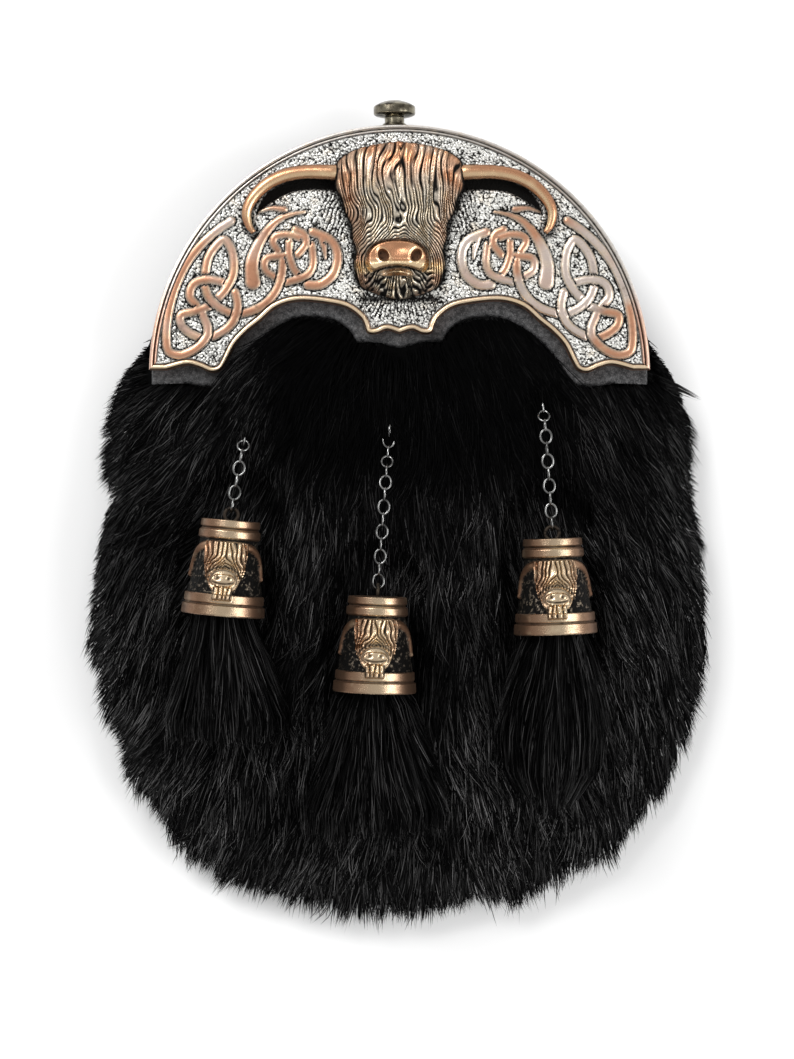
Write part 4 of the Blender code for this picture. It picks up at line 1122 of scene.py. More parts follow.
    def head(self, metal: bpy.types.Material) -> None:
        """Make the hair and the face on one fine grid.

        Args:
            metal: the finish.
        """
        up = np.linspace(HEAD_ROWS[0][0], HEAD_ROWS[-1][0], self.columns)
        half, relief = self.head_rows(up)
        half[0] = half[-1] = 0.0
        across = np.linspace(-1.0, 1.0, self.rows)[:, None]
        edge_wave = 1.0 + 0.02 * np.sin(up * 61.0) * (half > 3.0 * MM)
        x = across * (half * edge_wave)[None]
        y = np.broadcast_to(self.centre_y + up * self.radius, x.shape)
        ups = np.broadcast_to(up, x.shape)
        strands = self.hair(x, ups, np.broadcast_to(half, x.shape))
        crown = (1.0 - np.abs(across) ** 4.5) * relief[None]
        muzzle, smooth, black, gold = self.face(x, y)
        hair = 1.0 - ease(smooth * 2.5)
        base = self.edge + (self.relief - self.edge) * crown
        base = base - self.chin_drop * ease((0.42 - ups) / 0.08)
        cuff = np.exp(-((ups - 0.80) / 0.05) ** 2) * ease((np.abs(across) - 0.60) / 0.25)
        base = base + self.cuff_height * cuff
        height = base + hair * (strands - 0.45) * self.hair_height
        height = np.where(smooth > 0.02, np.maximum(height * hair, 0.0) + muzzle
                          + self.edge * (1.0 - hair), height)
        groove = np.interp(strands, (0.43, 0.76), (1.0, 0.0)) * hair
        groove = np.maximum(groove, hair * ease((np.abs(across) - 0.93) / 0.06))
        crest = ease((ups - 0.70) / 0.16) + 0.65 * ease((np.abs(across) - 0.55) / 0.3)
        patch = Noise(31, 3.0 * MM)(x, y)
        copper = np.clip(np.maximum(smooth, np.clip(crest, 0, 1) * (0.45 + 0.75 * patch)), 0, 1)
        form = Form()
        top = np.stack((x, y, self.floor_z + np.maximum(height, 0.2 * MM)), -1)
        # Painted highlight on the peaks of the silver strands, joined with the face's painted
        # highlight.
        pale = hair * np.interp(strands, (0.7, 0.95), (0.0, 0.25)) * (1.0 - copper)
        form.slab(top, self.floor_z, copper=copper, black=np.maximum(groove, black),
                  gold=np.maximum(gold, pale), smooth=np.ones(x.shape))
        form.piece("cow_face", metal, Slot.COPPER, ("cow_head",), sharp=80.0)

    def horns(self, metal: bpy.types.Material) -> None:
        """Make both horns, ribbed at the root and smooth to the tip.

        Args:
            metal: the finish.
        """
        flat = self.horn_line()
        share = np.linspace(0.0, 1.0, len(flat))
        body = self.horn_radius + (self.horn_tip_radius - self.horn_radius) * np.clip(
            (share - 0.25) / 0.75, 0.0, 1.0) ** 2
        root = np.clip(1.0 - share / 0.25, 0.0, 1.0)
        radii = body + (self.horn_root_radius - self.horn_radius) * root
        radii *= 1.0 + 0.03 * np.sin(share * 90.0) * root
        form = Form()
        for side in (-1.0, 1.0):
            line = np.stack((side * flat[:, 0], flat[:, 1] + self.centre_y,
                             self.floor_z + np.maximum(radii, self.horn_radius)
                             - self.horn_sink * np.clip(root * 2.5 - 1.5, 0.0, 1.0)), -1)
            form.tube(line, radii, sides=24, copper=1.0, smooth=1.0)
            for points, shares in form.chunks[-3:]:
                nearest = np.linalg.norm(points[:, None] - line[None], axis=2).argmin(1)
                middle = line[nearest, :2]
                inward = unit(np.array((0.0, self.centre_y)) - middle)
                lean = ((points[:, :2] - middle) * inward).sum(1) / radii[nearest]
                # Painted highlight along the inner side of each horn, painted shade along its outer
                # side.
                shares["gold"] = 0.75 * np.exp(-((lean - 0.40) / 0.33) ** 2)
                shares["black"] = 0.55 * ease((-0.45 - lean) / 0.5)
        form.piece("cow_horns", metal, Slot.COPPER)

    def build(self, metal: bpy.types.Material) -> None:
        """Make the whole head."""
        self.head(metal)
        self.horns(metal)


@dataclass
class Catch:
    """The turned press knob and the tube that guides its stem."""

    # Outside of the knob: millimetres over its head's underside, share of its head's radius
    KNOB_PROFILE = ((0.55, 0.90), (0.75, 0.965), (1.05, 0.995), (1.4, 1.0), (2.9, 1.0), (3.2, 0.985),
                    (3.45, 0.94), (4.1, 0.76), (4.6, 0.55), (4.95, 0.36), (5.15, 0.17), (5.2, 0.04))

    x: float = -1.5 * MM
    z: float = 17.05 * MM
    housing_low: float = 105.7 * MM
    housing_top: float = 116.7 * MM
    stem_low: float = 108.7 * MM
    head_low: float = 118.7 * MM
    head_radius: float = 6.3 * MM
    stem_radius: float = 2.95 * MM
    room: float = 0.3 * MM
    wall: float = 1.0 * MM
    collar_low: float = 115.2 * MM
    chamfer: float = 0.3 * MM
    lip: float = 0.1 * MM
    sides: int = 72

    def turned(self, profile: list[tuple[float, float]]) -> Form:
        """Turn a profile about the knob's axis.

        Args:
            profile: rows of place along the axis and radius.

        Returns:
            The closed form.
        """
        rows = np.array(profile)
        turn = np.linspace(0.0, 2.0 * math.pi, self.sides, endpoint=False)
        ring = np.stack((np.cos(turn), 0.0 * turn, np.sin(turn)), -1)
        middle = np.array((self.x, 0.0, self.z))
        along = np.array((0.0, 1.0, 0.0))
        rings = middle + rows[:, None, :1] * along + rows[:, None, 1:] * ring[None]
        form = Form()
        form.grid(rings, closed=True)
        for number in (0, -1):
            form.fan(rings[number], middle + rows[number, 0] * along)
        return form

    def build(self, metal: bpy.types.Material) -> None:
        """Make the housing, and the knob on its own body.

        Args:
            metal: the finish.
        """
        bore = self.stem_radius + self.room
        outer = bore + self.wall
        low, high, chamfer, lip = self.housing_low, self.housing_top, self.chamfer, self.lip
        housing = [(low, outer - chamfer), (low + chamfer, outer), (self.collar_low, outer),
                   (self.collar_low + chamfer, outer - 0.5 * chamfer),
                   (high - 5.0 * lip, bore + 5.0 * lip), (high - lip, bore + 3.5 * lip),
                   (high, bore + 2.0 * lip), (high, bore + lip), (high - lip, bore),
                   (low + self.wall, bore)]
        self.turned(housing).piece("catch_tube", metal, Slot.BRASS, ("catch_housing",), sharp=35.0)
        stem, head_low = self.stem_radius, self.head_low
        knob = [(self.stem_low, stem), (head_low - 2.0 * lip, stem), (head_low, 1.06 * stem),
                (head_low + 0.5 * lip, 1.25 * stem)]
        knob += [(head_low + rise * MM, share * self.head_radius)
                 for rise, share in self.KNOB_PROFILE]
        self.turned(knob).piece("press_knob", metal, Slot.BRASS, ("catch_knob",), Body.KNOB,
                                sharp=35.0)


# Outside of a bell: share of its height down, share of its greatest radius
BELL_PROFILE = (
    (0.0, 0.675), (0.008, 0.70), (0.068, 0.71), (0.078, 0.685), (0.088, 0.665), (0.10, 0.69),
    (0.115, 0.73), (0.18, 0.74), (0.19, 0.725), (0.205, 0.68), (0.765, 0.88), (0.775, 0.90),
    (0.785, 0.945), (0.86, 0.955), (0.87, 0.93), (0.885, 0.93), (0.895, 0.985), (0.985, 1.0),
    (1.0, 0.98),
)
BELL_HORN = ((0.92, 0.27), (1.3, 0.29), (1.7, 0.35), (2.0, 0.46), (2.1, 0.60))


@dataclass
class Pendant:
    """A chain that ends in a bell with a fur tassel; leans are degrees from straight down."""

    name: str
    anchor: tuple[float, float]
    links: int
    chain_lean: float
    bell_lean: float
    tassel_lean: float
    length: float
    half_width: float
    drop: float
    profile: tuple
    seed: int

    anchor_z: float = 34.0 * MM
    bell_z: float = 42.0 * MM
    link_length: float = 4.8 * MM
    link_width: float = 3.9 * MM
    wire: float = 0.33 * MM
    bite: float = 0.15 * MM
    eye_radius: float = 2.0 * MM
    eye_wire: float = 0.5 * MM
    room: float = 0.3 * MM
    bell_height: float = 27.8 * MM
    bell_radius: float = 12.2 * MM
    bell_wall: float = 1.2 * MM
    face_half_width: float = 6.4 * MM
    bell_top: float = 1.6 * MM
    bell_rows: int = 108
    bell_columns: int = 176
    post_radius: float = 1.0 * MM
    half_depth: float = 10.5 * MM
    hairs: int = 5200
    hair_half_width: float = 0.14 * MM

    @staticmethod
    def heading(lean: float, rise: float = 0.0) -> Array:
        """The direction at a lean from straight down the pouch."""
        angle = math.radians(lean)
        return unit(np.array((math.sin(angle), -math.cos(angle), rise)))

    @property
    def pitch(self) -> float:
        """Distance between the middles of two links."""
        return self.link_length - 4.0 * self.wire + self.bite

    def joints(self) -> Array:
        """Points where the links meet, from the anchor to the bell.

        Returns:
            The points.
        """
        down = self.heading(self.chain_lean)
        points = [np.array((*self.anchor, self.anchor_z))]
        for index in range(self.links):
            rising = ease((index + 1) / self.links / 0.4)
            rise = self.anchor_z + (self.bell_z - self.anchor_z) * rising - points[-1][2]
            level = math.sqrt(self.pitch ** 2 - rise ** 2)
            points.append(points[-1] + down * level + UP * rise)
        return np.array(points)

    def eye_centre(self, joint: Array, link: Array, eye: Array) -> Array:
        """Middle of an eye that an end link passes through.

        Args:
            joint: end of the chain.
            link: direction of the end link.
            eye: direction from the link to the eye's middle.

        Returns:
            The middle.
        """
        hold = self.link_length / 2.0 - 2.0 * self.wire - self.room - self.eye_wire
        return joint - link * self.pitch / 2.0 + link * hold + eye * self.eye_radius

    def ring(self, form: Form, centre: Array, along: Array, across: Array, half_length: float,
             half_width: float, wire: float, **values: float) -> None:
        """Add an oval ring of wire.

        Args:
            form: mesh in the making.
            centre: middle of the ring.
            along: direction of its length.
            across: direction of its width.
            half_length: half its length to the wire's middle.
            half_width: half its width to the wire's middle.
            wire: radius of the wire.
            **values: values on the points.
        """
        turn = np.linspace(0.0, 2.0 * math.pi, 30, endpoint=False)[:, None]
        line = centre + half_length * np.cos(turn) * along + half_width * np.sin(turn) * across
        form.tube(line, wire, sides=10, closed=True, normal=np.cross(along, across), **values)

    def bell_frame(self) -> tuple[Array, Array, Array]:
        """Where the bell's top is, the direction down it and the direction across it.

        Returns:
            The place and the two directions.
        """
        joints = self.joints()
        along = self.heading(self.bell_lean)
        centre = self.eye_centre(joints[-1], unit(joints[-1] - joints[-2]), along)
        return (centre + along * (self.eye_radius - self.eye_wire), along,
                unit(np.cross(along, UP)))

    def chain(self, steel: bpy.types.Material) -> None:
        """Make the links, in turn flat and upright, and the anchor that holds them.

        Args:
            steel: the finish.
        """
        joints = self.joints()
        form = Form()
        for index, (start, end) in enumerate(zip(joints, joints[1:])):
            along = unit(end - start)
            level = unit(np.cross(along, UP))
            across = level if index % 2 == 0 else unit(np.cross(level, along))
            self.ring(form, (start + end) / 2.0, along, across,
                      self.link_length / 2.0 - self.wire, self.link_width / 2.0 - self.wire,
                      self.wire)
        form.piece(f"cable_chain_{self.name}", steel, Slot.STEEL, (f"chain_{self.name}",))
        along = unit(joints[0] - joints[1])
        centre = self.eye_centre(joints[0], along, along)
        hook = Form()
        upright = unit(np.cross(unit(np.cross(along, UP)), along))
        self.ring(hook, centre, along, upright, self.eye_radius, self.eye_radius, self.eye_wire)
        low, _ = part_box(f"chain_anchor_{self.name}")
        post = np.array([(centre[0], centre[1], z)
                         for z in np.linspace(low.z, centre[2] - self.eye_radius, 4)])
        hook.tube(post, self.post_radius, sides=20, normal=np.array((0.0, 1.0, 0.0)))
        hook.piece(f"chain_post_{self.name}", steel, Slot.STEEL, (f"chain_anchor_{self.name}",))

    def inside_radius(self, distance: float) -> float:
        """Inner radius of the bell at a distance from its top."""
        top, share = BELL_PROFILE[0][1], distance / self.bell_height
        return (top + (0.93 - top) * share) * self.bell_radius - self.bell_wall

    def small_face(self, across: Array, down: Array) -> tuple[Array, Array, Array]:
        """The cow's head on a bell: strands, a round muzzle, a beard and horns.

        Args:
            across: distance from the middle line round the bell, with its sign.
            down: share of the bell's height.

        Returns:
            Height, share of copper and share of black.
        """
        wide = across / self.face_half_width
        y = down * self.bell_height
        jitter = Noise(41 + self.seed, 1.6 * MM)(across, y * 0.5) - 0.5
        half = np.interp(down, (0.20, 0.24, 0.34, 0.50, 0.60, 0.66), (0.8, 0.95, 1.0, 0.95, 0.85, 0.7))
        part = 0.42 * ease((down - 0.36) / 0.16)
        flow = (np.abs(wide) - part) / (half - 0.8 * part) * np.where(wide < 0.0, -1.0, 1.0)
        hair = ease((1.0 - np.abs(wide) / half) / 0.12) * ease((down - 0.215) / 0.02)
        hair *= ease((0.69 - down) / 0.06)
        strands = np.abs(np.sin((flow * 5.2 + jitter * 0.9) * math.pi)) ** 0.7
        height = hair * (0.6 + 1.1 * strands + 0.5 * (1.0 - (wide / half) ** 2).clip(0, 1))
        dx, dy = across / MM, (down - 0.635) * self.bell_height / MM
        ring = np.hypot(dx / 3.9, dy / 3.5)
        collar = np.exp(-((ring - 1.0) / 0.09) ** 2)
        body = ease((1.0 - ring) / 0.12 + 0.6) * (ring < 1.0)
        muzzle = ease((1.0 - np.abs(dx / 3.1) ** 2.6 - np.abs((dy + 0.2) / 1.9) ** 2.2) * 3.0)
        height = np.maximum(height, 1.7 * collar * (ring > 0.9))
        height = np.where(ring < 1.0, 1.3 + 1.3 * muzzle, height)
        eyes = np.exp(-((np.abs(dx) - 1.35) / 0.45) ** 2 - ((dy + 0.8) / 0.45) ** 2)
        mouth = np.exp(-((dy - 0.75 + 0.07 * dx ** 2) / 0.28) ** 2) * (np.abs(dx) < 2.5)
        beard = ease((dy - 1.5) / 0.4) * ease((5.8 - dy) / 0.8) * ease((2.9 - np.abs(dx)) / 0.5)
        tufts = np.abs(np.sin(dx * 2.5 + jitter * 2.0))
        height = np.maximum(height, beard * (1.3 + 0.9 * tufts)) - 0.7 * eyes - 0.5 * mouth
        raised = np.clip(np.maximum.reduce((hair, body, beard)), 0.0, 1.0)
        black = hair * (1 - body) * np.interp(strands, (0.35, 0.65), (1.0, 0.0))
        gap_ring = np.exp(-((ring - 0.88) / 0.07) ** 2) + np.exp(-((ring - 1.16) / 0.07) ** 2)
        black = np.maximum.reduce((black * (ring > 1.0), eyes, mouth, 0.9 * gap_ring * (hair > 0.2),
                                   beard * (tufts < 0.35) * 0.95))
        horn = smooth_line(BELL_HORN) * np.array((self.face_half_width, self.bell_height))
        gap, along = line_distance(np.abs(across), y, horn)
        width = 1.1 * MM * (1.15 - 0.6 * along / line_length(horn))
        ridge = np.clip(1.0 - (gap / width) ** 2, 0.0, 1.0) ** 0.5
        height = np.maximum(height, 1.2 * ridge)
        outline = ease((width + 0.5 * MM - gap) / (0.3 * MM)) * (ridge <= 0.0) * (raised < 0.5)
        return (height * MM, np.maximum(raised, ridge > 0.05),
                np.maximum(black * (1 - 0.9 * (ridge > 0.3)), outline * 0.8))

    def bell(self, metal: bpy.types.Material) -> None:
        """Make the hollow bell with its rings, its face and its eye.

        Args:
            metal: the finish.
        """
        origin, along, across = self.bell_frame()
        shares = np.unique(np.concatenate((np.linspace(0.0, 1.0, self.bell_rows),
                                           np.array(BELL_PROFILE)[:, 0])))
        turn = np.linspace(-math.pi, math.pi, self.bell_columns, endpoint=False)
        turn = turn - 0.5 * np.sin(turn)
        radius = read(BELL_PROFILE, shares) * self.bell_radius
        round_way = radius[:, None] * turn[None]
        down = np.broadcast_to(shares[:, None], round_way.shape)
        height, copper, black = self.small_face(round_way, down)
        grain = Noise(51 + self.seed, 0.7 * MM)(round_way, down * self.bell_height)
        ringed = (shares < 0.205) | (shares > 0.775)
        flat = ~ringed[:, None] & (height < 0.08 * MM)
        height = np.where(flat, 0.25 * MM * (grain - 0.5), height)
        black = np.where(flat, np.interp(grain, (0.55, 0.85), (1.0, 0.35)), black)
        grooves = np.maximum.reduce([np.exp(-((shares - place) / 0.009) ** 2)
                                     for place in (0.088, 0.205, 0.765, 0.877)])[:, None]
        black = np.maximum(black, grooves * (copper < 0.5) * 0.95)
        copper = np.where(ringed[:, None], np.maximum(copper, 0.8), copper)
        # Painted shade darkens the bell towards its sides and a painted highlight brightens its front.
        aside = ease((np.abs(turn) - 0.55) / 0.7)[None]
        black = np.maximum(black, 0.62 * aside)
        gold = np.where(ringed[:, None], 0.55, 0.72) * np.exp(-((turn + 0.1) / 0.40) ** 2)[None]
        gold = gold * (0.4 + 0.6 * (copper > 0.3))
        out = (np.cos(turn)[:, None] * UP + np.sin(turn)[:, None] * across)[None]
        reach = (radius[:, None] + np.maximum(height, -0.1 * MM))[..., None]
        outside = origin + (shares * self.bell_height)[:, None, None] * along + reach * out
        form = Form()
        smooth = np.maximum(ringed[:, None], copper > 0.3)
        form.grid(outside, closed=True, copper=copper, black=black, smooth=smooth, gold=gold)
        # The inside of the bell and its eye are painted dark as shade.
        walls = [outside[-1]] + [
            origin + distance * along + self.inside_radius(distance) * out[0]
            for distance in (self.bell_height, 0.5 * self.bell_height, self.bell_top)]
        form.grid(np.stack(walls), closed=True, copper=0.4, black=0.7, smooth=1.0)
        form.fan(walls[-1], origin + self.bell_top * along, copper=0.4, black=0.8, smooth=1.0)
        form.fan(outside[0], origin, copper=0.8, black=0.3, smooth=1.0)
        joints = self.joints()
        link = unit(joints[-1] - joints[-2])
        upright = UP if (self.links - 1) % 2 == 0 else across
        self.ring(form, self.eye_centre(joints[-1], link, along), along, upright, self.eye_radius,
                  self.eye_radius, self.eye_wire, copper=0.2, black=0.85, smooth=1.0)
        form.piece(f"bell_cast_{self.name}", metal, Slot.COPPER, (f"bell_{self.name}",), sharp=60.0)

    def tassel(self, fur: bpy.types.Material) -> None:
        """Make the tassel: a dark core and many tapered hairs that spread from the bell.

        Args:
            fur: the finish.
        """
        bell_origin, bell_along, _ = self.bell_frame()
        origin = bell_origin + self.bell_height * bell_along
        along = self.heading(self.tassel_lean, -self.drop / self.length)
        across = unit(np.cross(along, UP))
        up = np.cross(across, along)
        rng = np.random.default_rng(self.seed)
        core_turn = np.linspace(0.0, 2.0 * math.pi, 40, endpoint=False)
        shares = np.linspace(-0.2, 0.9, 16)
        widths = read(self.profile, shares) * self.half_width * 0.8
        widths = np.minimum(widths, np.where(shares < 0.0, self.inside_radius(0.9 * self.bell_height)
                                             * 0.9, 1.0))
        depths = np.minimum(widths, self.half_depth * 0.72)
        taper = np.where(shares > 0.75, 1.0 - ease((shares - 0.75) / 0.15) * 0.8, 1.0)
        ring = (np.cos(core_turn)[None, :, None] * across * (widths * taper)[:, None, None]
                + np.sin(core_turn)[None, :, None] * up * (depths * taper)[:, None, None])
        core = Form()
        rings = origin + (shares * self.length)[:, None, None] * along + ring
        core.grid(rings, closed=True, tone=0.0, calm=0.6)
        for ring in (rings[-1], rings[0]):
            core.fan(ring, ring.mean(0), tone=0.0, calm=0.6)
        turn = rng.uniform(0.0, 2.0 * math.pi, self.hairs)
        root = -0.10 + 0.93 * rng.random(self.hairs) ** 0.85
        root[: self.hairs // 8] = -0.12
        reach_on = rng.uniform(14.0, 21.0, self.hairs) * MM / self.length
        depth = rng.uniform(0.62, 1.0, self.hairs)
        locks = Noise(80 + self.seed, 3.2 * MM)
        steps = np.linspace(0.0, 1.0, 5)
        ragged = 0.98 + 0.16 * (locks(turn * 11.0 * MM, root * 3.0 * MM) - 0.5)
        ragged += rng.normal(0.0, 0.025, self.hairs)
        travel = root[:, None] + steps[None] * reach_on[:, None]
        travel = np.minimum(travel, ragged[:, None] + 0.02 * steps[None])
        sway = locks(turn * 16.0 * MM + 0.05, root * self.length) - 0.5
        bend = 0.9 * sway + rng.normal(0.0, 0.12, self.hairs)
        angle = turn[:, None] + bend[:, None] * steps[None] ** 1.5 * 0.42
        width = read(self.profile, travel) * self.half_width
        narrow = self.inside_radius(self.bell_height) * 0.93
        width = np.where(travel < 0.04, np.minimum(width, narrow), width)
        thick = np.minimum(width, self.half_depth * (1.0 - 0.12 * np.clip(travel, 0, 1)))
        reach = (depth + 0.04)[:, None] + steps[None] * rng.uniform(-0.03, 0.09, (self.hairs, 1))
        reach = reach - 0.10 * (1.0 - steps)[None]
        tip_sink = 0.3 * self.half_depth * ease((travel - 0.75) / 0.3)
        path = (origin + (travel * self.length)[..., None] * along
                + (reach * width * np.cos(angle))[..., None] * across
                + (reach * thick * np.sin(angle) - tip_sink)[..., None] * up)
        outward = unit(np.cos(turn)[:, None] * across + np.sin(turn)[:, None] * up)
        side = unit(np.cross(along, outward))
        roll = rng.normal(0.0, 0.5, self.hairs)[:, None]
        side = side * np.cos(roll) + outward * np.sin(roll)
        # Random pale hairs that carry the tassel's painted sheen.
        tone = 0.55 * rng.random(self.hairs) ** 5.0
        add_hairs(core, path, side, self.hair_half_width, tone, calm=0.1)
        core.piece(f"fur_tassel_{self.name}", fur, Slot.FUR, (f"tassel_{self.name}",), weld=False)


def add_hairs(form: Form, path: Array, side: Array, half_width: float, tone: Array,
              calm: Array | float) -> None:
    """Add tapered ribbons of hair.

    Args:
        form: mesh in the making.
        path: hairs by points by 3.
        side: direction across each hair.
        half_width: half the width of a hair where it is widest.
        tone: how pale each hair is, with its painted sheen.
        calm: how flat the fur lies and how much painted shade it gets, at each hair or for all.
    """
    hairs, points = path.shape[:2]
    swell = half_width * np.interp(np.linspace(0.0, 1.0, points), (0.0, 0.3, 0.8, 1.0),
                                   (0.75, 1.0, 0.75, 0.0))
    slim = np.clip(1.1 - 1.2 * tone, 0.55, 1.1)[:, None, None]
    offset = side[:, None] * swell[None, :-1, None] * slim
    pairs = np.stack((path[:, :-1] - offset, path[:, :-1] + offset), 2).reshape(hairs, -1, 3)
    vertices = np.concatenate((pairs, path[:, -1:]), 1)
    count = vertices.shape[1]
    start = (np.arange(hairs) * count)[:, None]
    lower = 2 * np.arange(points - 2)
    quads = np.stack((lower, lower + 1, lower + 3, lower + 2), -1).reshape(1, -1)
    tips = np.array((count - 3, count - 2, count - 1))[None]
    # Painted shade at the root of each hair and painted sheen along its middle.
    fade = np.interp(np.arange(count) // 2 / (points - 1), (0.0, 0.3, 0.6, 1.0),
                     (0.05, 0.35, 1.0, 0.5))
    flatness_and_shade_each = np.broadcast_to(np.asarray(calm, float), hairs)
    form.add(vertices.reshape(-1, 3), (quads + start).reshape(-1, 4), (tips + start).reshape(-1, 3),
             tone=(tone[:, None] * fade[None]).ravel(), calm=np.repeat(flatness_and_shade_each, count))


# Degrees from straight down, then shares: reach of the pelt and height of its pile
FUR_EDGE = (
    (0, 1.00, 1.00), (11, 0.995, 1.00), (18, 0.98, 1.00), (23, 0.955, 1.00), (29, 0.90, 1.00),
    (36, 0.82, 1.00), (42, 0.75, 1.00), (49, 0.66, 0.98), (55, 0.585, 0.94), (63, 0.535, 0.86),
    (72, 0.485, 0.74), (80, 0.42, 0.60), (90, 0.385, 0.45),
)
FUR_PROFILE = ((0.0, 0.62), (0.18, 0.72), (0.32, 0.90), (0.46, 1.00), (0.59, 0.99), (0.71, 0.91),
               (0.82, 0.75), (0.91, 0.50), (1.00, 0.0), (1.15, -0.2))


@dataclass
class Pelt:
    """The deep fur: a dark skin under four coats of hair that fan out from the cantle."""

    pendants: tuple[Pendant, ...]
    centre_y: float = 64.0 * MM
    length: float = 188.0 * MM
    height: float = 36.0 * MM
    edge_z: float = 9.0 * MM
    underside_z: float = 5.4 * MM
    end_angle: float = 80.0
    hairs: int = 84000
    coats: int = 4
    guides: int = 2600
    hair_length: float = 17.0 * MM
    hair_half_width: float = 0.13 * MM
    root_depth: float = 3.0 * MM
    billow: float = 1.6 * MM
    tuft_radius: float = 5.5 * MM
    tuft_height: float = 6.5 * MM
    press_fade: float = 4.5 * MM
    # Zone below the cantle where the fur lies flat and gets painted shade.
    shaded_zone_x: float = 8.0 * MM
    shaded_zone_half_width: float = 55.0 * MM
    shaded_zone_low: float = 2.0 * MM
    shaded_zone_fade: float = 22.0 * MM
    wisp_root: tuple[float, float, float] = (66.0 * MM, 41.5 * MM, 14.5 * MM)
    wisp_length: float = 25.5 * MM
    wisp_hairs: int = 160
    skin_depth: float = 4.2 * MM
    skin_columns: int = 150
    skin_rows: int = 46
    backing_z: float = 16.8 * MM
    corner_angle: float = 66.0
    corner_swell: float = 0.062
    seed: int = 7

    def polar(self, x: Array, y: Array) -> tuple[Array, Array, Array]:
        """Place points on the fan.

        Args:
            x: across.
            y: up the pouch.

        Returns:
            Angle from straight down in degrees, share of the reach there, and the pile.
        """
        angle = np.degrees(np.arctan2(x, self.centre_y - y))
        reach = read(FUR_EDGE, np.abs(angle)) * self.length
        return angle, np.hypot(x, y - self.centre_y) / reach, read(FUR_EDGE, np.abs(angle), 2)

    def corner(self, degrees: Array) -> Array:
        """How near the cantle's corners an angle is, from 0 to 1."""
        return ease((np.abs(degrees) - self.corner_angle) / 8.0)

    def surface(self, x: Array, y: Array) -> Array:
        """Height of the fur, pressed down under the chains, bells and tassels.

        Args:
            x: across.
            y: up the pouch.

        Returns:
            The height.
        """
        _, share, pile = self.polar(x, y)
        curve = read(smooth_line(FUR_PROFILE, steps=5), share)
        z = self.edge_z + (self.height - self.edge_z) * pile * curve
        z = z + self.billow * (Noise(61, 17.0 * MM)(x, y) - 0.5) * ease((1.0 - share) / 0.2)
        for pendant in self.pendants:
            origin, along, _ = pendant.bell_frame()
            joints = pendant.joints()
            tuft = np.hypot(x - joints[0, 0], y - joints[0, 1] - 1.5 * MM) / self.tuft_radius
            z = z + self.tuft_height * np.exp(-tuft ** 2)
            tassel = origin + pendant.bell_height * along
            tip = tassel + pendant.heading(pendant.tassel_lean) * pendant.length
            rooms = ((joints[2], joints[-1], 2.0 * MM, 2.6 * MM),
                     (origin, tassel, pendant.bell_radius, pendant.bell_radius + 0.8 * MM),
                     (tassel, tip, 0.8 * pendant.half_width, pendant.half_depth * 0.85))
            for start, end, wide, deep in rooms:
                line = np.stack((start[:2], end[:2]))
                gap, along_line = line_distance(x, y, line)
                part = along_line / line_length(line)
                middle = start[2] + (end[2] - start[2]) * part
                floor = middle - deep
                press = ease((wide + self.press_fade - gap) / self.press_fade)
                z = np.where(z > floor, z + (floor - z) * press, z)
        return z

    def skin(self, fur: bpy.types.Material) -> None:
        """Make the dark closed form under the hair.

        Args:
            fur: the finish.
        """
        end = self.end_angle + 6.5
        angles = np.radians(np.linspace(-end, end, self.skin_columns))
        shares = np.linspace(0.05, 0.93, self.skin_rows)
        degrees = np.degrees(angles)
        reach = read(FUR_EDGE, np.abs(degrees)) * self.length
        reach = reach * (1.0 + self.corner_swell * self.corner(degrees))
        x = shares[:, None] * (reach * np.sin(angles))[None]
        y = self.centre_y - shares[:, None] * (reach * np.cos(angles))[None]
        z = self.surface(x, y) - self.skin_depth
        z = np.where(self.beside_backing(x, y), np.minimum(z, self.backing_z), z)
        z = np.maximum(z, self.underside_z + 0.2 * MM)
        z[-1] = self.underside_z + 1.0 * MM
        form = Form()
        form.grid(np.stack((x, y, z), -1), tone=0.0, calm=0.7)
        inner = np.array(shares >= 0.42)
        under = np.stack((x[inner], y[inner], np.full(x[inner].shape, self.underside_z)), -1)
        under[0, :, 2] += 1.0 * MM
        form.grid(under, tone=0.0, calm=0.7)
        form.grid(np.stack((np.stack((x[-1], y[-1], z[-1]), -1), under[-1])), tone=0.0, calm=0.7)
        form.piece("pelt_skin", fur, Slot.FUR, ("fur_pelt",), weld=False)

    def beside_backing(self, x: Array, y: Array) -> Array:
        """Whether points lie behind the cantle, where the fur stays flat.

        Args:
            x: across.
            y: up the pouch.

        Returns:
            True where they do.
        """
        moon = HalfMoon()
        edge = np.vstack(((0.0, 0.11), smooth_line(BACKING_LOWER_EDGE)[::-1], (1.02, -0.03)))
        low = np.interp(np.abs(x), edge[:, 0] * moon.radius, edge[:, 1] * moon.radius)
        up = y - moon.centre_y
        return (np.hypot(x, up) < moon.radius + 1.0 * MM) & (up > low - 1.0 * MM)

    def lean(self, x: Array, y: Array) -> Array:
        """Direction in which the hair falls, in radians from straight down.

        Args:
            x: across.
            y: up the pouch.

        Returns:
            The direction.
        """
        angle, share, _ = self.polar(x, y)
        fan = np.where(angle < 0.0, 0.62 * angle, 0.36 * angle)
        sweep = 26.0 * (Noise(71, 34.0 * MM)(x, y) - 0.5) + 22.0 * (Noise(72, 12.0 * MM)(x, y) - 0.5)
        outward = ease((share - 0.72) / 0.28) * 0.45 * angle
        return np.radians(fan + sweep * (0.5 + 0.5 * ease(share)) + outward)

    def calm(self, x: Array, y: Array) -> Array:
        """How flat the fur lies and how much painted shade it gets: most below the middle of the
        cantle.

        Args:
            x: across.
            y: up the pouch.

        Returns:
            The share of flat lie and painted shade, from 0 to 1.
        """
        zone = ease((self.shaded_zone_half_width - np.abs(x - self.shaded_zone_x)) / self.shaded_zone_fade)
        zone = zone * ease((y - self.shaded_zone_low) / self.shaded_zone_fade)
        return np.clip(zone + 0.35 * (Noise(73, 15.0 * MM)(x, y) > 0.72), 0.0, 1.0)

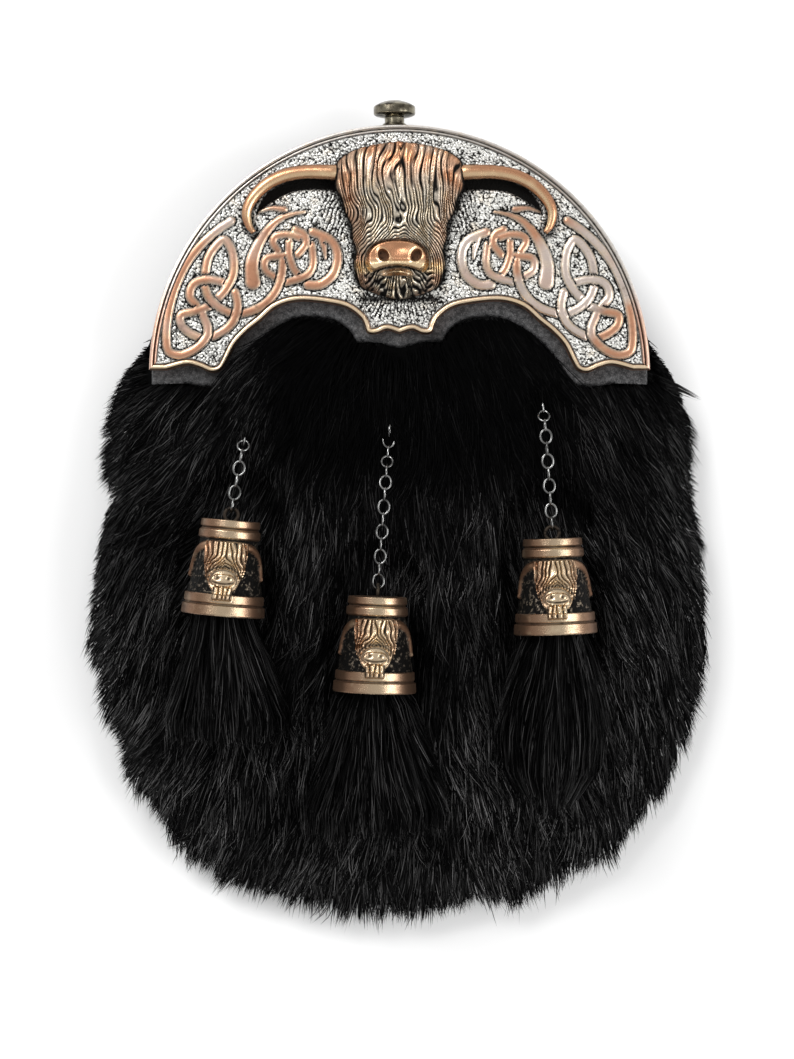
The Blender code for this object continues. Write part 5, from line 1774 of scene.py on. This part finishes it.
    def roots(self, rng: np.random.Generator, count: int, low: float,
              high: float) -> tuple[Array, Array]:
        """Scatter roots evenly over the fan.

        Args:
            rng: seeded generator.
            count: how many.
            low: least share of the reach.
            high: greatest share of the reach.

        Returns:
            x and y of the roots.
        """
        angle = rng.uniform(-1.0, 1.0, 4 * count) * (self.end_angle + 5.0)
        reach = read(FUR_EDGE, np.abs(angle))
        keep = rng.random(4 * count) < reach ** 2 * (1.0 + 2.0 * self.corner(angle))
        angle, reach = np.radians(angle[keep][:count]), reach[keep][:count] * self.length
        share = np.sqrt(rng.uniform(low ** 2, high ** 2, len(angle)))
        return share * reach * np.sin(angle), self.centre_y - share * reach * np.cos(angle)

    def comb(self, rng: np.random.Generator, x: Array, y: Array, length: Array,
             spread: float) -> Array:
        """Lay hairs from their roots along the lean of the fur.

        Args:
            rng: seeded generator.
            x: roots across.
            y: roots up.
            length: length of each hair.
            spread: how far a hair's lean strays, in radians.

        Returns:
            Paths, hairs by 4 points by 3.
        """
        count = len(x)
        lean = self.lean(x, y) + rng.normal(0.0, spread, count)
        bend = rng.normal(0.0, 0.16, count)
        steps = np.array((0.0, 0.33, 0.68, 1.0))
        lift = np.stack((np.full(count, -3.0), rng.uniform(-0.8, 0.5, count),
                         rng.uniform(-0.2, 1.0, count), rng.uniform(-0.9, 1.5, count)), 1) * MM
        path = np.zeros((count, 4, 3))
        path[:, 0, 0], path[:, 0, 1] = x, y
        for step in range(1, 4):
            turn = lean + bend * steps[step]
            run = length * (steps[step] - steps[step - 1])
            path[:, step, 0] = path[:, step - 1, 0] + run * np.sin(turn)
            path[:, step, 1] = path[:, step - 1, 1] - run * np.cos(turn)
        path[..., 2] = self.surface(path[..., 0], path[..., 1]) + lift
        return path

    def trimmed(self, path: Array, limit: Array) -> Array:
        """Draw hairs in whose tips pass the pelt's reach.

        Args:
            path: hairs by points by 3.
            limit: share of the reach that each tip may have.

        Returns:
            The paths, shortened towards their roots.
        """
        _, tip, _ = self.polar(path[:, -1, 0], path[:, -1, 1])
        _, root, _ = self.polar(path[:, 0, 0], path[:, 0, 1])
        keep = np.clip((limit - root) / np.maximum(tip - root, 1e-6), 0.12, 1.0)
        keep = np.where(tip > limit, keep, 1.0)[:, None, None]
        flat = path.copy()
        flat[..., :2] = path[:, :1, :2] + (path[..., :2] - path[:, :1, :2]) * keep
        lift = path[..., 2] - self.surface(path[..., 0], path[..., 1])
        flat[..., 2] = self.surface(flat[..., 0], flat[..., 1]) + lift
        return flat

    def coat(self, fur: bpy.types.Material, number: int) -> None:
        """Make one coat of hair.

        Args:
            fur: the finish.
            number: number of the coat, which seeds it.
        """
        rng = np.random.default_rng(self.seed + number)
        count = self.hairs // self.coats
        x, y = self.roots(rng, count, low=0.04, high=0.975)
        keep = ~self.beside_backing(x, y - 1.0 * MM)
        x, y = x[keep], y[keep]
        count = len(x)
        length = self.hair_length * rng.uniform(0.65, 1.25, count)
        path = self.comb(rng, x, y, length, spread=0.10)
        gx, gy = self.roots(np.random.default_rng(self.seed + 90), self.guides,
                            low=0.10, high=1.0)
        guide_path = self.comb(np.random.default_rng(self.seed + 91), gx, gy,
                               np.full(len(gx), self.hair_length), spread=0.24)
        tree = kdtree.KDTree(len(gx))
        for index, point in enumerate(zip(gx, gy)):
            tree.insert((*point, 0.0), index)
        tree.balance()
        nearest = np.array([tree.find((px, py, 0.0))[1] for px, py in zip(x, y)])
        pull = 0.5 * np.array((0.0, 0.2, 0.65, 1.0))[None, :, None]
        offset = (guide_path[nearest] - guide_path[nearest][:, :1]
                  + (guide_path[nearest][:, :1] - path[:, :1]) * 0.5)
        target = path[:, :1] + offset
        path[..., :2] += (pull * (target - path))[..., :2]
        lift = rng.uniform(-0.7, 0.9, (count, 1)) * MM * np.array((0.0, 0.4, 0.8, 1.0))
        path[..., 2] = self.surface(path[..., 0], path[..., 1]) + lift
        path[:, 0, 2] -= self.root_depth
        around = np.degrees(np.arctan2(x, self.centre_y - y))
        ragged = rng.normal(0.0, 0.010, count) + 0.05 * (Noise(74, 7.0 * MM)(x, y) - 0.5)
        ragged += np.interp(around, (-74.0, -60.0, -57.0, -48.0), (0.0, 0.03, -0.035, 0.0))
        path = self.trimmed(path, 0.995 + ragged)
        along = unit(path[:, 2] - path[:, 1])
        side = unit(np.cross(along, UP))
        roll = rng.normal(0.0, 0.55, count)[:, None]
        side = side * np.cos(roll) + np.cross(side, along) * np.sin(roll)
        # Painted sheen: pale streaks in random patches, more of them towards the bottom of the pelt
        # and fewer near the cantle.
        patch = np.interp(Noise(75, 13.0 * MM)(x, y), (0.25, 0.65), (0.25, 1.0))
        patch = patch * np.interp(y / MM, (-85.0, -40.0, 0.0, 25.0), (1.9, 1.4, 0.9, 0.55))
        tone = patch * rng.random(count) ** 6.0
        form = Form()
        add_hairs(form, path, side, self.hair_half_width, tone, self.calm(x, y))
        if number == 0:
            self.wisp(form, rng)
        form.piece(f"fur_coat_{number + 1}", fur, Slot.FUR, weld=False)

    def wisp(self, form: Form, rng: np.random.Generator) -> None:
        """Add the loose lock that sticks out beside the cantle's right corner.

        Args:
            form: mesh in the making.
            rng: seeded generator.
        """
        count, (x, y, z) = self.wisp_hairs, self.wisp_root
        steps = np.linspace(0.0, 1.0, 5)[None]
        end = rng.uniform(0.55, 1.0, count)[:, None] * steps
        spread = rng.normal(0.0, 1.0, count)[:, None] * (1.4 - 1.0 * steps) * MM
        path = np.stack((x + self.wisp_length * end,
                         y - 3.0 * MM * end - 5.0 * MM * end ** 2 + spread,
                         z + 3.0 * MM * np.sin(end * 2.6) + 0.4 * spread), -1)
        side = np.tile(np.array((0.0, 0.8, 0.6)), (count, 1))
        # Pale hairs that carry the wisp's painted sheen.
        tone = 0.3 * rng.random(count) ** 2
        add_hairs(form, path, side, self.hair_half_width, tone, calm=0.2)

    def build(self, fur: bpy.types.Material) -> None:
        """Make the skin and every coat.

        Args:
            fur: the finish.
        """
        self.skin(fur)
        for number in range(self.coats):
            self.coat(fur, number)


@dataclass
class Pouch:
    """The leather pouch behind the fur: its CAD pieces dressed, with rows of stitches."""

    stitch: float = 2.6 * MM
    gap: float = 1.4 * MM
    thread: float = 0.28 * MM
    sunk: float = 0.1 * MM
    loop_leather: float = 2.5 * MM
    loop_edge: float = 1.3 * MM
    loop_side: float = 1.0 * MM
    seam_share: float = 0.82
    seam_y: float = -40.0 * MM
    seam_depth: float = 52.0 * MM
    seam_ends: tuple[float, float] = (200.0, 340.0)
    seam_points: int = 60

    def stitches(self, form: Form, line: Array) -> None:
        """Add a row of stitches along a line on the leather's underside.

        Args:
            form: mesh in the making.
            line: points of the row.
        """
        length = line_length(line)
        walked = np.concatenate(([0.0], np.cumsum(np.linalg.norm(np.diff(line, axis=0), axis=1))))
        step = self.stitch + self.gap
        for start in np.arange(self.gap, length - self.stitch, step):
            ways = start + np.linspace(0.0, self.stitch, 5)
            points = np.stack([np.interp(ways, walked, line[:, axis]) for axis in range(3)], -1)
            points[:, 2] += self.thread * np.array((0.9, 0.1, 0.0, 0.1, 0.9))
            form.tube(points, self.thread, sides=6)

    def build(self, leather: bpy.types.Material, thread: bpy.types.Material) -> None:
        """Dress the CAD leather and sew it.

        Args:
            leather: the finish of the leather.
            thread: the finish of the stitches.
        """
        loops = ("belt_loop_left", "belt_loop_right")
        for node in ("back_panel", "bag_shell", *loops):
            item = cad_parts[node]
            item.data.materials.clear()
            item.data.materials.append(leather)
            LOG.info("%s dressed", node)
        form = Form()
        for node in loops:
            low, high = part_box(node)
            z = high.z - self.loop_leather - self.sunk
            for foot in (low.y + self.loop_edge, high.y - self.loop_edge):
                ends = (low.x + self.loop_side, high.x - self.loop_side)
                self.stitches(form, np.array([(x, foot, z) for x in ends]))
        _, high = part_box("back_panel")
        turn = np.linspace(*np.radians(self.seam_ends), self.seam_points)
        self.stitches(form, np.stack((self.seam_share * high.x * np.cos(turn),
                                      self.seam_y + self.seam_depth * np.sin(turn),
                                      np.full(len(turn), self.thread - self.sunk)), -1))
        form.piece("stitching", thread, Slot.LEATHER)


@dataclass
class Studio:
    """White floor, soft lights and the camera straight above."""

    camera_height: float = 760.0 * MM
    plane_z: float = 25.0 * MM
    view_height: float = 316.4 * MM
    centre: tuple[float, float] = (-0.75 * MM, -5.7 * MM)
    floor_half: float = 2.5
    floor_z: float = -0.2 * MM
    lamp_size: float = 0.7
    aim_z: float = 20.0 * MM
    sky: float = 0.6

    def floor(self) -> None:
        """Lay the floor under the pouch."""
        sides = (-self.floor_half, self.floor_half)
        mesh = bpy.data.meshes.new("floor")
        mesh.from_pydata([(x, y, self.floor_z) for y in sides for x in sides], [], [(0, 1, 3, 2)])
        mesh.materials.append(PaperFinish("white_paper").make())
        link("floor", mesh)

    def lamp(self, name: str, place: tuple[float, float, float], power: float) -> None:
        """Hang one soft lamp that faces the pouch.

        Args:
            name: name of the lamp.
            place: where it hangs.
            power: power in watts.
        """
        data = bpy.data.lights.new(name, "AREA")
        data.size, data.energy = self.lamp_size, power
        item = link(name, data)
        item.location = place
        aim = Vector((0.0, 0.0, self.aim_z)) - Vector(place)
        item.rotation_euler = aim.to_track_quat("-Z", "Y").to_euler()

    def camera(self) -> None:
        """Put the camera over the pouch."""
        data = bpy.data.cameras.new("camera")
        data.sensor_width = 36.0
        data.sensor_fit = "AUTO"
        distance = self.camera_height - self.plane_z
        data.lens = data.sensor_width * distance / self.view_height
        item = link("camera", data)
        item.location = (*self.centre, self.camera_height)
        bpy.context.scene.camera = item

    def build(self) -> None:
        """Set up the floor, the lights, the sky and the camera."""
        self.floor()
        self.lamp("key", (-0.65, 0.80, 0.95), power=14.0)
        self.lamp("fill", (0.90, -0.15, 0.75), power=7.0)
        world = bpy.data.worlds.new("sky")
        world.use_nodes = True
        sky = world.node_tree.nodes["Background"]
        sky.inputs["Color"].default_value = (1.0, 1.0, 1.0, 1.0)
        sky.inputs["Strength"].default_value = self.sky
        bpy.context.scene.world = world
        bpy.context.scene.view_settings.view_transform = "Standard"
        self.camera()


# Half width of a tassel down its length, as shares
FLARED = ((0.0, 0.52), (0.18, 0.60), (0.40, 0.75), (0.62, 0.88), (0.82, 1.0), (1.0, 0.92))
BULB = ((0.0, 0.64), (0.18, 0.78), (0.38, 0.94), (0.58, 1.0), (0.80, 0.86), (1.0, 0.42))


def pendants() -> tuple[Pendant, ...]:
    """The three pendants, placed by shares of the pouch's half width and the fur's length.

    Returns:
        The pendants from left to right.
    """
    half_width, longest, widest, deepest = 76.0 * MM, 51.0 * MM, 22.0 * MM, 8.0 * MM

    def anchor(across: float, down: float) -> tuple[float, float]:
        """Place of an anchor."""
        return across * half_width, Pelt.centre_y - down * Pelt.length

    return (
        Pendant("left", anchor(-0.59, 0.215), links=8, chain_lean=-10.0, bell_lean=-5.0,
                tassel_lean=1.8, length=0.725 * longest, half_width=0.84 * widest,
                drop=0.625 * deepest, profile=FLARED, seed=1),
        Pendant("middle", anchor(-0.04, 0.222), links=13, chain_lean=-4.2, bell_lean=-2.0,
                tassel_lean=1.0, length=0.845 * longest, half_width=widest,
                drop=deepest, profile=FLARED, seed=2),
        Pendant("right", anchor(0.55, 0.152), links=12, chain_lean=3.8, bell_lean=2.0,
                tassel_lean=-1.0, length=longest, half_width=0.75 * widest,
                drop=0.875 * deepest, profile=BULB, seed=3),
    )


def main() -> None:
    """Build every sub-assembly and report it."""
    logging.basicConfig(level=logging.INFO, format="%(name)s: %(message)s")
    pewter = CastFinish("antiqued_pewter", (0.78, 0.77, 0.73), (0.62, 0.31, 0.185),
                        (0.90, 0.70, 0.45)).make()
    copper = CastFinish("antiqued_copper", (0.70, 0.64, 0.54), (0.60, 0.30, 0.165),
                        (0.98, 0.75, 0.46), pits=0.35, shine=0.22).make()
    bronze = CastFinish("dark_bronze", (0.22, 0.18, 0.14), (0.27, 0.145, 0.085),
                        (0.86, 0.70, 0.48), pits=0.6, shine=0.19).make()
    brass = PlainMetal("aged_brass", (0.25, 0.225, 0.165), (0.035, 0.029, 0.021),
                       shine=0.15, brushed=(1.0, 0.2, 1.0)).make()
    steel = PlainMetal("chain_steel", (0.30, 0.30, 0.295), (0.07, 0.07, 0.068),
                       shine=0.10).make()
    leather = Leather("grained_leather", (0.008, 0.008, 0.009), (0.16, 0.158, 0.16),
                      cell=0.7 * MM, dullness=0.44, fleck=1.5 * MM).make()
    panel = Leather("panel_leather", (0.012, 0.012, 0.013), (0.030, 0.030, 0.031)).make()
    thread = Leather("waxed_thread", (0.03, 0.03, 0.03), (0.06, 0.06, 0.06),
                     cell=0.4 * MM).make()
    fur = FurFinish("black_rabbit_fur").make()
    hung = pendants()
    Pouch().build(panel, thread)
    Backing().build(leather)
    Cantle().build(pewter)
    CowHead().build(copper)
    Catch().build(brass)
    for pendant in hung:
        pendant.chain(steel)
        pendant.bell(bronze)
        pendant.tassel(fur)
    Pelt(hung).build(fur)
    Studio().build()


if __name__ == "__main__":
    main()
